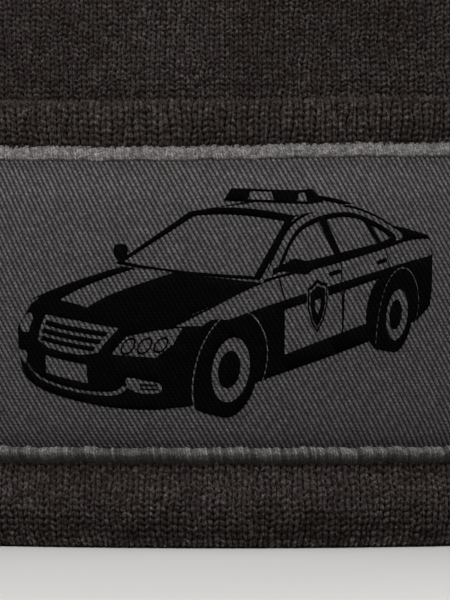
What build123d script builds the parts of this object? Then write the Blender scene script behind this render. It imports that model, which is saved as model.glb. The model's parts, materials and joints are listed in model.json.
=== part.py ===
"""Knitted cuffed beanie with a sewn twill patch on the front of its cuff.

The hat is one long knitted tube, closed at both ends, with one half pushed into
the other. That gives a crown of two layers, outer and lining, whose open end is
turned up on the outside as a cuff. Four dart seams close the crown and meet in a
gathered knot, and a twill patch with a wrapped edge is sewn to the cuff's front.

Millimetres, +Z up, front towards -Y. The origin is the middle of the brim on the
surface that the hat stands on.
"""

from build123d import *
from math import asin, cos, degrees, radians, sin
import os

# Plan of the cuff: an oval of four tangent arcs, wide from ear to ear
cuff_half_width = 92.0
cuff_half_depth = 72.0
front_arc_half_angle = 31.0

# Knit layers, and the slack between the crown and the turned-up cuff
knit_layer = 1.5
cuff_slack = 0.4

# Heights above the surface that the hat stands on
cuff_height = 81.5
dome_start = 100.0
crown_top = 205.0

# The dome's side view is a superellipse, fuller at the shoulder than an ellipse
dome_fullness = 2.3
dome_section_angles = (0.0, 1.5, 18.0, 36.0, 54.0, 70.0, 80.0, 87.0)

# Dart seams and the gathered knots that close the two layers
seam_width = 2.4
seam_proud = 0.8
seam_drop = 38.0
knot_radius = 5.0
knot_height = 2.2
lining_knot_height = 1.6

# Patch on the cuff's front: width and height along the cloth, and its layers
patch_width = 114.0
patch_height = 57.6
patch_bottom = 15.0
patch_corner_radius = 6.0
backing_thickness = 0.7
twill_thickness = 0.8

# Wrapped edge of the patch, a round-topped bead, drawn a little below the cuff's face
# and then trimmed to it
border_width = 3.0
border_proud = 2.6
border_seat = 0.8

# Values that follow from the sizes above
double_layer = 2.0 * knit_layer
fold_depth = 2.0 * double_layer + cuff_slack
fold_radius = fold_depth / 2.0
crown_offset = -(double_layer + cuff_slack)
lining_offset = crown_offset - knit_layer
inside_offset = crown_offset - double_layer
dome_power = 2.0 / dome_fullness

# Radii and centres of the plan's front and side arcs
arc_cos = cos(radians(front_arc_half_angle))
arc_sin = sin(radians(front_arc_half_angle))
centre_distance = (cuff_half_width - cuff_half_depth) / (arc_cos + arc_sin - 1.0)
front_radius = cuff_half_depth + centre_distance * arc_cos
side_radius = cuff_half_width - centre_distance * arc_sin
front_centre_y = front_radius - cuff_half_depth
side_centre_x = cuff_half_width - side_radius


def oval_arcs(offset, scale=1.0):
    """Centre, radius, start angle and sweep of the plan oval's arcs, front arc first."""
    half = front_arc_half_angle
    front = (front_radius + offset) * scale
    side = (side_radius + offset) * scale
    centre_y = front_centre_y * scale
    centre_x = side_centre_x * scale
    return (
        ((0, centre_y), front, -90 - half, 2 * half),
        ((centre_x, 0), side, -90 + half, 180 - 2 * half),
        ((0, -centre_y), front, 90 - half, 2 * half),
        ((-centre_x, 0), side, 90 + half, 180 - 2 * half),
    )


def oval_face(offset, height, scale=1.0):
    """Face of the plan oval, moved out by offset, then scaled about the middle."""
    with BuildSketch(Plane.XY.offset(height)) as plan:
        with BuildLine():
            for centre, radius, start, sweep in oval_arcs(offset, scale):
                CenterArc(centre, radius, start, sweep)
        make_face()
    return plan.sketch


def oval_prism(offset, low, high):
    """Solid with vertical walls on the plan oval."""
    return extrude(oval_face(offset, low), high - low)


def oval_ring(outer, inner, low, high):
    """Upright wall between two offsets of the plan oval."""
    return oval_prism(outer, low, high) - oval_prism(inner, low, high)


def dome(offset, rise):
    """Closed dome above dome_start: ovals that shrink along a superellipse."""
    sections = []
    for angle in dome_section_angles:
        shrink = cos(radians(angle)) ** dome_power
        lift = rise * sin(radians(angle)) ** dome_power
        sections.append(oval_face(offset, dome_start + lift, shrink))
    return loft(sections)


def swept_ring(section):
    """Section drawn in the XZ plane from x = 0 at the cuff's face, swept round the oval."""
    ring = []
    for (x, y), radius, start, sweep in oval_arcs(0.0):
        turned = Rot(0, 0, start) * Pos(radius, 0, 0) * section
        ring.append(Pos(x, y, 0) * revolve(turned, Axis.Z, sweep))
    return ring[0] + ring[1] + ring[2] + ring[3]


def half_round(width, height):
    """Section of a bead, x from 0 inwards by width: straight sides, then a round top."""
    shoulder = height - width / 2.0
    with BuildSketch(Plane.XZ) as bead:
        with BuildLine():
            Line((0, 0), (0, shoulder))
            ThreePointArc((0, shoulder), (-width / 2.0, height), (-width, shoulder))
            Line((-width, shoulder), (-width, 0))
            Line((-width, 0), (0, 0))
        make_face()
    return bead.sketch


def domed_layer(outer, inner, peak):
    """Domed part of one knitted layer, between two offsets, its outside up to peak."""
    rise = peak - dome_start
    return dome(outer, rise) - dome(inner, rise - knit_layer)


def make_crown():
    """Outer layer of the crown: upright wall, shoulder, and four gores between the darts."""
    layer = domed_layer(crown_offset, lining_offset, crown_top)
    span = 2.0 * cuff_half_width
    base = (Align.CENTER, Align.CENTER, Align.MIN)
    below_darts = Box(span, span, crown_top - seam_drop, align=base)
    quarter = Box(span, span, 2.0 * crown_top, align=(Align.MIN, Align.MIN, Align.MIN))
    pieces = {
        "crown_wall": oval_ring(crown_offset, lining_offset, fold_radius, dome_start),
        "crown_outer": layer & below_darts,
    }
    gathered = layer - below_darts
    for name, turn in (
        ("front_right", -90),
        ("back_right", 0),
        ("back_left", 90),
        ("front_left", 180),
    ):
        pieces["crown_gore_" + name] = gathered & (Rot(0, 0, turn) * quarter)
    return pieces


def make_lining():
    """Inner layer of the crown in one piece, which touches the outer one all over."""
    wall = oval_ring(lining_offset, inside_offset, fold_radius, dome_start)
    return {
        "crown_lining": wall
        + domed_layer(lining_offset, inside_offset, crown_top - knit_layer)
    }


def make_brim_fold():
    """Half-round turn at the bottom, where both layers go round into the cuff."""
    with BuildSketch(Plane.XZ) as turn:
        with BuildLine():
            Line((0, fold_radius), (-fold_depth, fold_radius))
            ThreePointArc((-fold_depth, fold_radius), (-fold_radius, 0), (0, fold_radius))
        make_face()
    return {"brim_fold": swept_ring(turn.sketch)}


def make_cuff():
    """Turned-up band of two layers with a rounded upper edge."""
    section = Pos(0, 0, fold_radius) * half_round(double_layer, cuff_height - fold_radius)
    return {"cuff_band": swept_ring(section)}


def make_crown_seams():
    """Four dart seams down the dome from the knot, named as the hat is seen from the front."""
    raised = dome(crown_offset + seam_proud, crown_top + seam_proud - dome_start)
    skin = raised - dome(crown_offset, crown_top - dome_start)
    reach = cuff_half_width + seam_proud
    knot_core = Cylinder(knot_radius, 4.0 * crown_top)
    slab = Pos(0, 0, crown_top - seam_drop) * Box(
        reach, seam_width, 2.0 * seam_drop, align=(Align.MIN, Align.CENTER, Align.MIN)
    )
    seams = {}
    for name, turn in (("front", -90), ("right", 0), ("back", 90), ("left", 180)):
        seams["crown_seam_" + name] = (skin & (Rot(0, 0, turn) * slab)) - knot_core
    return seams


def domed_knot(height):
    """Round knot standing on z = 0: a low upright edge under a cap of a sphere."""
    edge = height / 3.0
    rise = height - edge
    sphere_radius = (knot_radius**2 + rise**2) / (2.0 * rise)
    cap_angle = degrees(asin(knot_radius / sphere_radius))
    with BuildSketch(Plane.XZ) as half:
        with BuildLine():
            Line((0, height), (0, 0))
            Line((0, 0), (knot_radius, 0))
            Line((knot_radius, 0), (knot_radius, edge))
            CenterArc((0, height - sphere_radius), sphere_radius, 90 - cap_angle, cap_angle)
        make_face()
    return revolve(half.sketch, Axis.Z)


def dome_top(peak):
    """Height of the small flat face that a dome with this peak ends in."""
    last_angle = radians(dome_section_angles[-1])
    return dome_start + (peak - dome_start) * sin(last_angle) ** dome_power


def make_knots():
    """Gathered knots that close the crown outside and the lining inside."""
    crown_knot = Pos(0, 0, dome_top(crown_top)) * domed_knot(knot_height)
    lining_top = dome_top(crown_top - double_layer)
    lining_knot = Pos(0, 0, lining_top) * Rot(180, 0, 0) * domed_knot(lining_knot_height)
    return {"crown_knot": crown_knot, "lining_knot": lining_knot}


def cloth_plane(arc_length):
    """Plane on the cuff's front: x along the cloth, y up, z out, arc_length off the middle."""
    angle = arc_length / front_radius
    return Plane(
        origin=(
            front_radius * sin(angle),
            front_centre_y - front_radius * cos(angle),
            0,
        ),
        x_dir=(cos(angle), sin(angle), 0),
        z_dir=(sin(angle), -cos(angle), 0),
    )


def bead_section(plane):
    """Section of the wrapped edge, on a plane whose x is across it and y out of the cuff."""
    middle = border_width / 2.0
    shoulder = border_proud - middle
    with BuildSketch(plane) as section:
        with BuildLine():
            Line((-middle, -border_seat), (-middle, shoulder))
            ThreePointArc((-middle, shoulder), (0, border_proud), (middle, shoulder))
            Line((middle, shoulder), (middle, -border_seat))
            Line((middle, -border_seat), (-middle, -border_seat))
        make_face()
    return section.sketch


def make_border():
    """Wrapped edge: a bead along four bars and four quarter turns, seated on the cuff."""
    bend = patch_corner_radius - border_width / 2.0
    corner_arc = patch_width / 2.0 - patch_corner_radius
    low = patch_bottom + patch_corner_radius
    high = patch_bottom + patch_height - patch_corner_radius

    pieces = []
    start = cloth_plane(-corner_arc)
    axis = Axis((0, front_centre_y, 0), (0, 0, 1))
    for height in (low - bend, high + bend):
        across = Plane(
            origin=start.origin + Vector(0, 0, height),
            x_dir=(0, 0, 1),
            z_dir=start.x_dir,
        )
        pieces.append(
            revolve(bead_section(across), axis, 2.0 * degrees(corner_arc / front_radius))
        )
    for side in (-1, 1):
        cloth = cloth_plane(side * corner_arc)
        edge = cloth.origin + cloth.x_dir * (side * bend)
        foot = Plane(
            origin=edge + Vector(0, 0, low), x_dir=-cloth.x_dir, z_dir=(0, 0, 1)
        )
        pieces.append(extrude(bead_section(foot), high - low))
        for height, turn in ((low, -side), (high, side)):
            corner_start = Plane(
                origin=edge + Vector(0, 0, height),
                x_dir=-cloth.x_dir,
                z_dir=(0, 0, 1),
            )
            pivot = Axis(cloth.origin + Vector(0, 0, height), cloth.z_dir * turn)
            pieces.append(revolve(bead_section(corner_start), pivot, 90))

    border = pieces[0]
    for piece in pieces[1:]:
        border = border + piece
    return border - cuff_front_core(0.0)


def cuff_front_core(offset):
    """Upright cylinder that the cuff's front arc is part of, moved out by offset."""
    middle = patch_bottom + patch_height / 2.0
    return Pos(0, front_centre_y, middle) * Cylinder(
        front_radius + offset, 2.0 * patch_height
    )


def make_patch():
    """Backing and twill panel, curved to the cuff, with the wrapped edge round them."""
    border = make_border()
    edge = border_width / 2.0
    half_width = front_radius * sin((patch_width / 2.0 - edge) / front_radius)
    with BuildSketch(Plane.XZ) as panel:
        with Locations((0, patch_bottom + patch_height / 2.0)):
            RectangleRounded(
                2.0 * half_width, patch_height - border_width, patch_corner_radius - edge
            )
    cut = extrude(panel.sketch, cuff_half_depth + border_proud)
    backing_skin = cuff_front_core(backing_thickness) - cuff_front_core(0.0)
    twill_skin = cuff_front_core(backing_thickness + twill_thickness) - cuff_front_core(
        backing_thickness
    )
    return {
        "patch_backing": (backing_skin & cut) - border,
        "patch_twill": (twill_skin & cut) - border,
        "patch_border": border,
    }


def one_solid(name, shape):
    """Check that a piece is one valid solid, and print its size."""
    solids = shape.solids()
    if len(solids) != 1 or not solids[0].is_valid:
        raise ValueError(f"{name} is not one valid solid")
    size = shape.bounding_box().size
    print(f"{name}: {size.X:.1f} x {size.Y:.1f} x {size.Z:.1f} mm")
    return solids[0]


def main():
    """Build every piece and write one STEP file for each."""
    os.makedirs("parts", exist_ok=True)
    pieces = {}
    for make in (
        make_crown,
        make_lining,
        make_brim_fold,
        make_cuff,
        make_crown_seams,
        make_knots,
        make_patch,
    ):
        pieces.update(make())
    for name, shape in pieces.items():
        export_step(one_solid(name, shape), f"parts/{name}.step")


main()
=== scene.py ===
"""Looks of a knitted cuffed beanie with a sewn twill patch on its cuff.

The knit is modelled stitch by stitch as a relief on the hat's curved surfaces, the
patch as a diagonal twill with a wrapped edge, and the printed figure as a thin film
on the twill. Everything is in metres, with the front towards -Y.
"""

from __future__ import annotations

import json
import logging
import math
from dataclasses import dataclass, field
from enum import Enum
from typing import Callable, Sequence

import bpy
import mathutils
import mathutils.geometry
import numpy as np
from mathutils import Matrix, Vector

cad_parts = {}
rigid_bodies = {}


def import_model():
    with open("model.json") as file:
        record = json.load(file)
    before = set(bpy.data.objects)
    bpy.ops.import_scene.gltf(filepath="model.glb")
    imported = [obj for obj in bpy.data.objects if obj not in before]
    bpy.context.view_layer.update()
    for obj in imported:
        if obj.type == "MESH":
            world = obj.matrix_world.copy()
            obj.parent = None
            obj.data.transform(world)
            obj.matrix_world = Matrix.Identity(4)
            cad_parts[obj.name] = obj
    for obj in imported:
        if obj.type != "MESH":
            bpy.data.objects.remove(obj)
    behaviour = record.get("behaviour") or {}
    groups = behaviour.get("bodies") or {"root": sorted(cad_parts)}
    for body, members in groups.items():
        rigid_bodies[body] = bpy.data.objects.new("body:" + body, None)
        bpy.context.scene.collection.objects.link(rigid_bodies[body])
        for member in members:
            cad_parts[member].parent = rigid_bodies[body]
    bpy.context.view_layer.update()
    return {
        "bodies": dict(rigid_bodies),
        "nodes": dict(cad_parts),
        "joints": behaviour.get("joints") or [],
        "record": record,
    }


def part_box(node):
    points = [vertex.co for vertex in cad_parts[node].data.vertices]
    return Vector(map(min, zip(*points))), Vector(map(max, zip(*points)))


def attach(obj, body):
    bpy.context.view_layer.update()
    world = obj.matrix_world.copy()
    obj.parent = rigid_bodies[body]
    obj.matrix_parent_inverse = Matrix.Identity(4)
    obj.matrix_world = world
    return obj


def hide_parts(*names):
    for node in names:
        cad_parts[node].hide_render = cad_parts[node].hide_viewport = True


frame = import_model()

LOG = logging.getLogger("beanie")
MM = 0.001
BODY = "root"
Array = np.ndarray
Socket = bpy.types.NodeSocket
Value = float | Socket
Colour = Sequence[float] | Socket
Outline = Sequence[Sequence[float]]
Spots = list[tuple[float, float, float]]
Piece = bpy.types.Object


def smooth_step(low: float, high: float, value: Array) -> Array:
    """Return 0 below low, 1 above high and a smooth ramp between them."""
    share = np.clip((value - low) / (high - low), 0.0, 1.0)
    return share * share * (3.0 - 2.0 * share)


def bell(away: Array, reach: Array | float) -> Array:
    """Return 1 where away is nil, falling off smoothly to both sides within a reach."""
    return np.exp(-((away / reach) ** 2))


def unit(vectors: Array) -> Array:
    """Return vectors of the same directions, one long."""
    return vectors / np.maximum(np.linalg.norm(vectors, axis=-1, keepdims=True), 1e-12)


def walked(path: Array) -> Array:
    """Return the length walked along a path up to each of its points."""
    return np.concatenate([[0.0], np.cumsum(np.linalg.norm(np.diff(path, axis=0), axis=1))])


def pairs(first: Array, second: Array) -> Array:
    """Put two coordinates side by side, as a map's places."""
    return np.stack([first, second], axis=-1)


@dataclass(frozen=True)
class OvalPlan:
    """Plan of the cuff's face: an oval of four tangent arcs.

    Places round it are given as a length along the cuff's face, 0 at the middle of
    the front and growing towards +X.
    """

    half_width: float
    half_depth: float
    front_half_angle: float = math.radians(31.0)

    @property
    def centre_distance(self) -> float:
        """Distance between the centres of a front arc and a side arc."""
        turn = math.cos(self.front_half_angle) + math.sin(self.front_half_angle)
        return (self.half_width - self.half_depth) / (turn - 1.0)

    @property
    def front_radius(self) -> float:
        """Radius of the front and back arcs."""
        return self.half_depth + self.centre_distance * math.cos(self.front_half_angle)

    @property
    def side_radius(self) -> float:
        """Radius of the arcs over the ears."""
        return self.half_width - self.centre_distance * math.sin(self.front_half_angle)

    @property
    def quarter(self) -> float:
        """Length of a quarter of the oval."""
        side_angle = math.pi / 2.0 - self.front_half_angle
        return self.front_radius * self.front_half_angle + self.side_radius * side_angle

    @property
    def girth(self) -> float:
        """Length all round the oval."""
        return 4.0 * self.quarter

    def place(
        self, along: Array, offset: Array | float = 0.0, scale: Array | float = 1.0
    ) -> tuple[Array, Array, Array, Array]:
        """Find points on the oval, moved out by offset and then scaled.

        Args:
            along: Lengths along the cuff's face.
            offset: How far outside the cuff's face the points are.
            scale: Share by which the whole oval shrinks about its middle.

        Returns:
            The x and y of the points, and the x and y of the outward normals.
        """
        quadrant = np.floor(along / self.quarter)
        rest = along - quadrant * self.quarter
        quadrant = quadrant.astype(int) % 4
        arc = np.where(quadrant % 2 == 1, self.quarter - rest, rest)
        side_x = np.where(quadrant < 2, 1.0, -1.0)
        side_y = np.where((quadrant == 1) | (quadrant == 2), 1.0, -1.0)
        front_arc = self.front_radius * self.front_half_angle
        on_front = arc <= front_arc
        angle = np.where(
            on_front,
            arc / self.front_radius,
            self.front_half_angle + (arc - front_arc) / self.side_radius,
        )
        radius = np.where(on_front, self.front_radius, self.side_radius) + offset
        centre_x = np.where(on_front, 0.0, self.half_width - self.side_radius)
        centre_y = np.where(on_front, self.front_radius - self.half_depth, 0.0)
        x = side_x * scale * (centre_x + radius * np.sin(angle))
        y = side_y * scale * (radius * np.cos(angle) - centre_y)
        return x, y, side_x * np.sin(angle), side_y * np.cos(angle)


@dataclass(frozen=True)
class ClothWave:
    """Gentle wave of the cuff, nil at the fold and full at the upper edge.

    At the front the cuff also bulges a little above the fold and dents below its rim.
    """

    girth: float
    height: float
    lift: float = 0.45 * MM
    waves: int = 5
    shift: float = 12.0 * MM
    sway: float = 0.35 * MM
    sway_from: float = 12.0 * MM
    front_reach: float = 88.0 * MM
    dent: float = 1.3 * MM
    dent_middle: float = 69.5 * MM
    dent_reach: tuple[float, float] = (14.0 * MM, 5.0 * MM)
    bulge: float = 1.7 * MM
    bulge_middle: float = 7.8 * MM
    bulge_reach: float = 5.6 * MM

    def rise(self, along: Array, z: Array) -> Array:
        """Return how far the cloth is lifted at each place."""
        turn = 2.0 * math.pi * self.waves * (along - self.shift) / self.girth
        slow = 2.0 * math.pi * 2.0 * along / self.girth
        full = smooth_step(0.25 * self.height, self.height, z)
        return self.lift * full * (0.5 + np.sin(turn) + 0.4 * np.sin(slow + 1.0))

    def push(self, along: Array, z: Array) -> Array:
        """Return how far the cloth stands out or in at each place."""
        turn = 2.0 * math.pi * along / self.girth
        slow = np.sin(7.0 * turn + 40.0 * z) + np.sin(11.0 * turn - 65.0 * z + 2.0)
        ahead = np.abs((along + self.girth / 2.0) % self.girth - self.girth / 2.0)
        front = 1.0 - smooth_step(0.65 * self.front_reach, self.front_reach, ahead)
        above = z - self.dent_middle
        dent = self.dent * bell(above, np.where(above < 0.0, *self.dent_reach))
        bulge = self.bulge * bell(z - self.bulge_middle, self.bulge_reach)
        even = self.sway * slow / 2.0 * smooth_step(0.0, self.sway_from, z)
        return even + front * (bulge - dent)


class Detail(Enum):
    """Mesh steps across and along one stitch, and the painted shade that such a block gets.

    The painted shade is the share of the yarn's own tone at which a coarse block, whose
    relief casts less shadow, looks like a fine one.
    """

    FINE = (8, 4, 1.0)
    PLAIN = (4, 2, 0.92)
    ROWS = (4, 1, 0.67)
    RIB = (4, 0.1, 0.60)


@dataclass(frozen=True)
class StitchForm:
    """Shape of one stockinette stitch, two leaning legs of yarn.

    wale is the width of a column of stitches and course the height of a row.
    """

    wale: float
    course: float
    leg_height: float = 0.56 * MM
    leg_neck: float = 0.46
    coarse_bulge: float = 0.78
    gap_depth: float = 0.35 * MM
    gap_swing: float = 0.35
    opening_depth: float = 0.3 * MM
    opening_shade: float = 0.35
    seat: float = 0.26 * MM
    slant: float = 0.5
    lean: float = 0.2
    unevenness: float = 0.45
    limpness: float = 0.28
    row_drift: float = 0.28
    wander: float = 0.17
    slow_wander: float = 0.16
    roughness: float = 0.10 * MM
    tone_range: float = 0.22
    period: int = 252
    seed: int = 7

    def legs(self, wale: Array) -> Array:
        """Return 0 at the middle of a column of stitches and 1 at its edges."""
        return np.abs(2.0 * (wale - np.floor(wale)) - 1.0)

    def dice(self, column: Array, row: Array, kind: int) -> Array:
        """Return a steady pseudo-random number from -1 to 1 for whole numbers."""
        column = np.asarray(column).astype(np.int64)
        row = np.asarray(row).astype(np.int64)
        mixed = column * 73856093 ^ row * 19349663 ^ (self.seed + kind) * 83492791
        mixed = (mixed ^ (mixed >> 13)) * 1274126177
        mixed = (mixed ^ (mixed >> 16)) & 0xFFFF
        return mixed / 32767.5 - 1.0

    def luck(self, wale: Array, course: Array, kind: int) -> Array:
        """Return a pseudo-random number from -1 to 1 for each leg of yarn."""
        return self.dice(np.floor(2.0 * wale) % (2 * self.period), np.floor(course), kind)

    def drift(self, wale: Array, course: Array, cell: tuple[int, int], kind: int) -> Array:
        """Make smooth noise.

        Args:
            wale: Places across the cloth, in columns.
            course: Places along the cloth, in rows.
            cell: Columns and rows to a cell of the noise.
            kind: Number that makes this noise differ from others.

        Returns:
            The noise at each place, from -1 to 1.
        """
        across, up = wale / cell[0], course / cell[1]
        left, low = np.floor(across), np.floor(up)
        share_x = smooth_step(0.0, 1.0, across - left)
        share_y = smooth_step(0.0, 1.0, up - low)
        around = self.period // cell[0]
        lower, upper = (
            self.dice(left % around, row, kind) * (1.0 - share_x)
            + self.dice((left + 1) % around, row, kind) * share_x
            for row in (low, low + 1)
        )
        return lower * (1.0 - share_y) + upper * share_y

    def relief(self, wale: Array, course: Array, plain: Array) -> Array:
        """Model the yarn over the cloth's middle surface.

        Args:
            wale: Places across the cloth, in columns.
            course: Places along the cloth, in rows, before they slant.
            plain: 1 where a stitch gets too few rows to show its grooves, else 0.

        Returns:
            The height of the yarn at each place.
        """
        legs = self.legs(wale)
        step = course - np.floor(course)
        middle = np.where(step > 0.01, 0.5 + self.lean * (0.5 - step), 0.5)
        away = np.clip((legs - middle) / 0.5 * 0.9, -0.97, 0.97)
        round_leg = np.sqrt(1.0 - away * away)
        swell = np.sin(math.pi * step) ** 0.8
        grooved = self.leg_neck + (1.0 - self.leg_neck) * swell
        bulge = self.coarse_bulge * plain + grooved * (1.0 - plain)
        loose = 1.0 + self.unevenness * self.luck(wale, course, 1) * (
            np.sin(math.pi * step) * (1.0 - np.abs(2.0 * legs - 1.0))
        )
        loose = loose * (1.0 + self.limpness * self.drift(wale, course, (1, 2), 4))
        gap = self.gap_depth * smooth_step(0.5, 1.0, legs)
        gap = gap * (1.0 + self.gap_swing * np.cos(2.0 * math.pi * course) * (1.0 - plain))
        return self.leg_height * round_leg * bulge * loose - gap - self.seat


class Cloth:
    """A curved cloth that stitches are laid on.

    Its methods take places on it as wale, in columns across it, and course, in rows
    along it.
    """

    form: StitchForm
    inside_out: bool = False
    start: int = 0

    def surface(self, wale: Array, course: Array) -> Array:
        """Return points of the cloth's middle surface."""
        raise NotImplementedError

    def flatten(self, wale: Array, course: Array) -> Array:
        """Return the share of the relief that each place keeps."""
        return np.ones_like(wale)

    def give(self, wale: Array) -> Array:
        """Return the share of the sideways wander that each place keeps."""
        return np.ones_like(wale)

    def painted_shading(self, wale: Array, course: Array) -> Array:
        """Return the share of the tone that painted shade takes and painted light adds."""
        return np.ones_like(wale)

    def opening(self, course: Array) -> Array:
        """Return how far the columns stand apart, from 0 to 1."""
        return np.zeros_like(course)

    def normals(self, wale: Array, course: Array) -> Array:
        """Return unit normals on the side that shows, from small differences."""
        step = 0.05
        across = self.surface(wale + step, course) - self.surface(wale - step, course)
        up = self.surface(wale, course + step) - self.surface(wale, course - step)
        normal = unit(np.cross(across, up))
        return -normal if self.inside_out else normal


@dataclass
class CuffCloth(Cloth):
    """The cuff from inside the brim, round the fold, up its face and over its edge.

    Painted shade and painted light at its bends are each a strength and a reach up the cloth.
    """

    form: StitchForm
    plan: OvalPlan
    wave: ClothWave
    patch: PatchPlace
    top: float
    fold_radius: float
    edge_radius: float
    tuck: float = 2.0 * MM
    lip: float = 3.0 * MM
    edge_painted_shade: tuple[float, float] = (0.45, 1.9 * MM)
    rim_painted_highlight: tuple[float, float] = (0.22, 1.2 * MM)
    rim_below: float = 0.5 * MM
    fold_painted_light: tuple[float, float] = (3.2, 1.3 * MM)
    fold_painted_shade: tuple[float, float] = (0.16, 2.2 * MM)
    patch_painted_shadow: tuple[float, float] = (0.30, 0.45)
    patch_shadow_reach: tuple[float, float] = (1.2 * MM, 1.8 * MM)
    opened: tuple[float, float] = (10.0 * MM, 4.0 * MM)
    inside_out: bool = False

    @property
    def bends(self) -> tuple[float, float, float, float]:
        """Lengths up the cloth at which the fold and the upper edge start and end."""
        fold_end = self.tuck + math.pi * self.fold_radius
        face_end = fold_end + self.top - self.edge_radius - self.fold_radius
        return self.tuck, fold_end, face_end, face_end + math.pi * self.edge_radius

    @property
    def rows(self) -> int:
        """Number of rows of stitches from end to end."""
        return int((self.bends[3] + self.lip) / self.form.course)

    @property
    def columns(self) -> int:
        """Number of columns of stitches all round, a multiple of four."""
        return 4 * round(self.plan.quarter / self.form.wale)

    def row_at(self, z: float) -> int:
        """Return the row on the cuff's face nearest to a height."""
        return round((self.bends[1] + z - self.fold_radius) / self.form.course)

    def surface(self, wale: Array, course: Array) -> Array:
        """Return points of the cloth's middle surface."""
        along = wale * self.plan.girth / self.columns
        up = course * self.form.course
        fold_start, fold_end, face_end, edge_end = self.bends
        fold = np.clip((up - fold_start) / self.fold_radius, 0.0, math.pi) + math.pi
        edge = np.clip((up - face_end) / self.edge_radius, 0.0, math.pi)
        offset = self.fold_radius * (np.cos(fold) - 1.0)
        offset = offset + self.edge_radius * (np.cos(edge) - 1.0)
        z = self.fold_radius * (1.0 + np.sin(fold)) + np.clip(fold_start - up, 0.0, None)
        z = z + np.clip(up - fold_end, 0.0, face_end - fold_end)
        z = z + self.edge_radius * np.sin(edge) - np.clip(up - edge_end, 0.0, None)
        offset = offset + self.wave.push(along, z)
        x, y, _, _ = self.plan.place(along, offset)
        return np.stack([x, y, z + self.wave.rise(along, z)], axis=-1)

    def painted_shading(self, wale: Array, course: Array) -> Array:
        """Return painted shade at the edge, fold and patch, and painted light on fold and rim."""
        up = course * self.form.course
        fold_start, fold_end, face_end, _ = self.bends
        edge = face_end + 0.47 * math.pi * self.edge_radius
        fold = fold_start + 0.70 * math.pi * self.fold_radius
        rim = face_end - self.rim_below
        # Painted shade over the lit upper edge and where the fold turns into the face.
        painted_dark = self.edge_painted_shade[0] * bell(up - edge, self.edge_painted_shade[1])
        painted_dark = painted_dark + self.fold_painted_shade[0] * bell(up - fold_end, self.fold_painted_shade[1])
        # Painted light: a paler band over the shaded lower fold, and a painted highlight just
        # below the rim.
        fluff = self.fold_painted_light[0] * bell(up - fold, self.fold_painted_light[1])
        fluff = fluff + self.rim_painted_highlight[0] * bell(up - rim, self.rim_painted_highlight[1])
        # Painted shadow on the knit round the patch, reaching farther above it.
        girth = self.plan.girth
        along = (wale * girth / self.columns + girth / 2.0) % girth - girth / 2.0
        z = up - fold_end + self.fold_radius
        beyond = np.clip(self.patch.beyond(along, z - self.patch.middle), 0.0, None)
        above = z > self.patch.middle
        reach = np.where(above, self.patch_shadow_reach[1], self.patch_shadow_reach[0])
        shadow_round_patch = np.where(above, self.patch_painted_shadow[1], self.patch_painted_shadow[0]) * bell(beyond, reach)
        return (1.0 - painted_dark + fluff) * (1.0 - shadow_round_patch)

    def opening(self, course: Array) -> Array:
        """Return how far the columns stand apart, most at the stretched upper edge."""
        low, high = (self.bends[2] - below for below in self.opened)
        return smooth_step(low, high, course * self.form.course)


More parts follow.
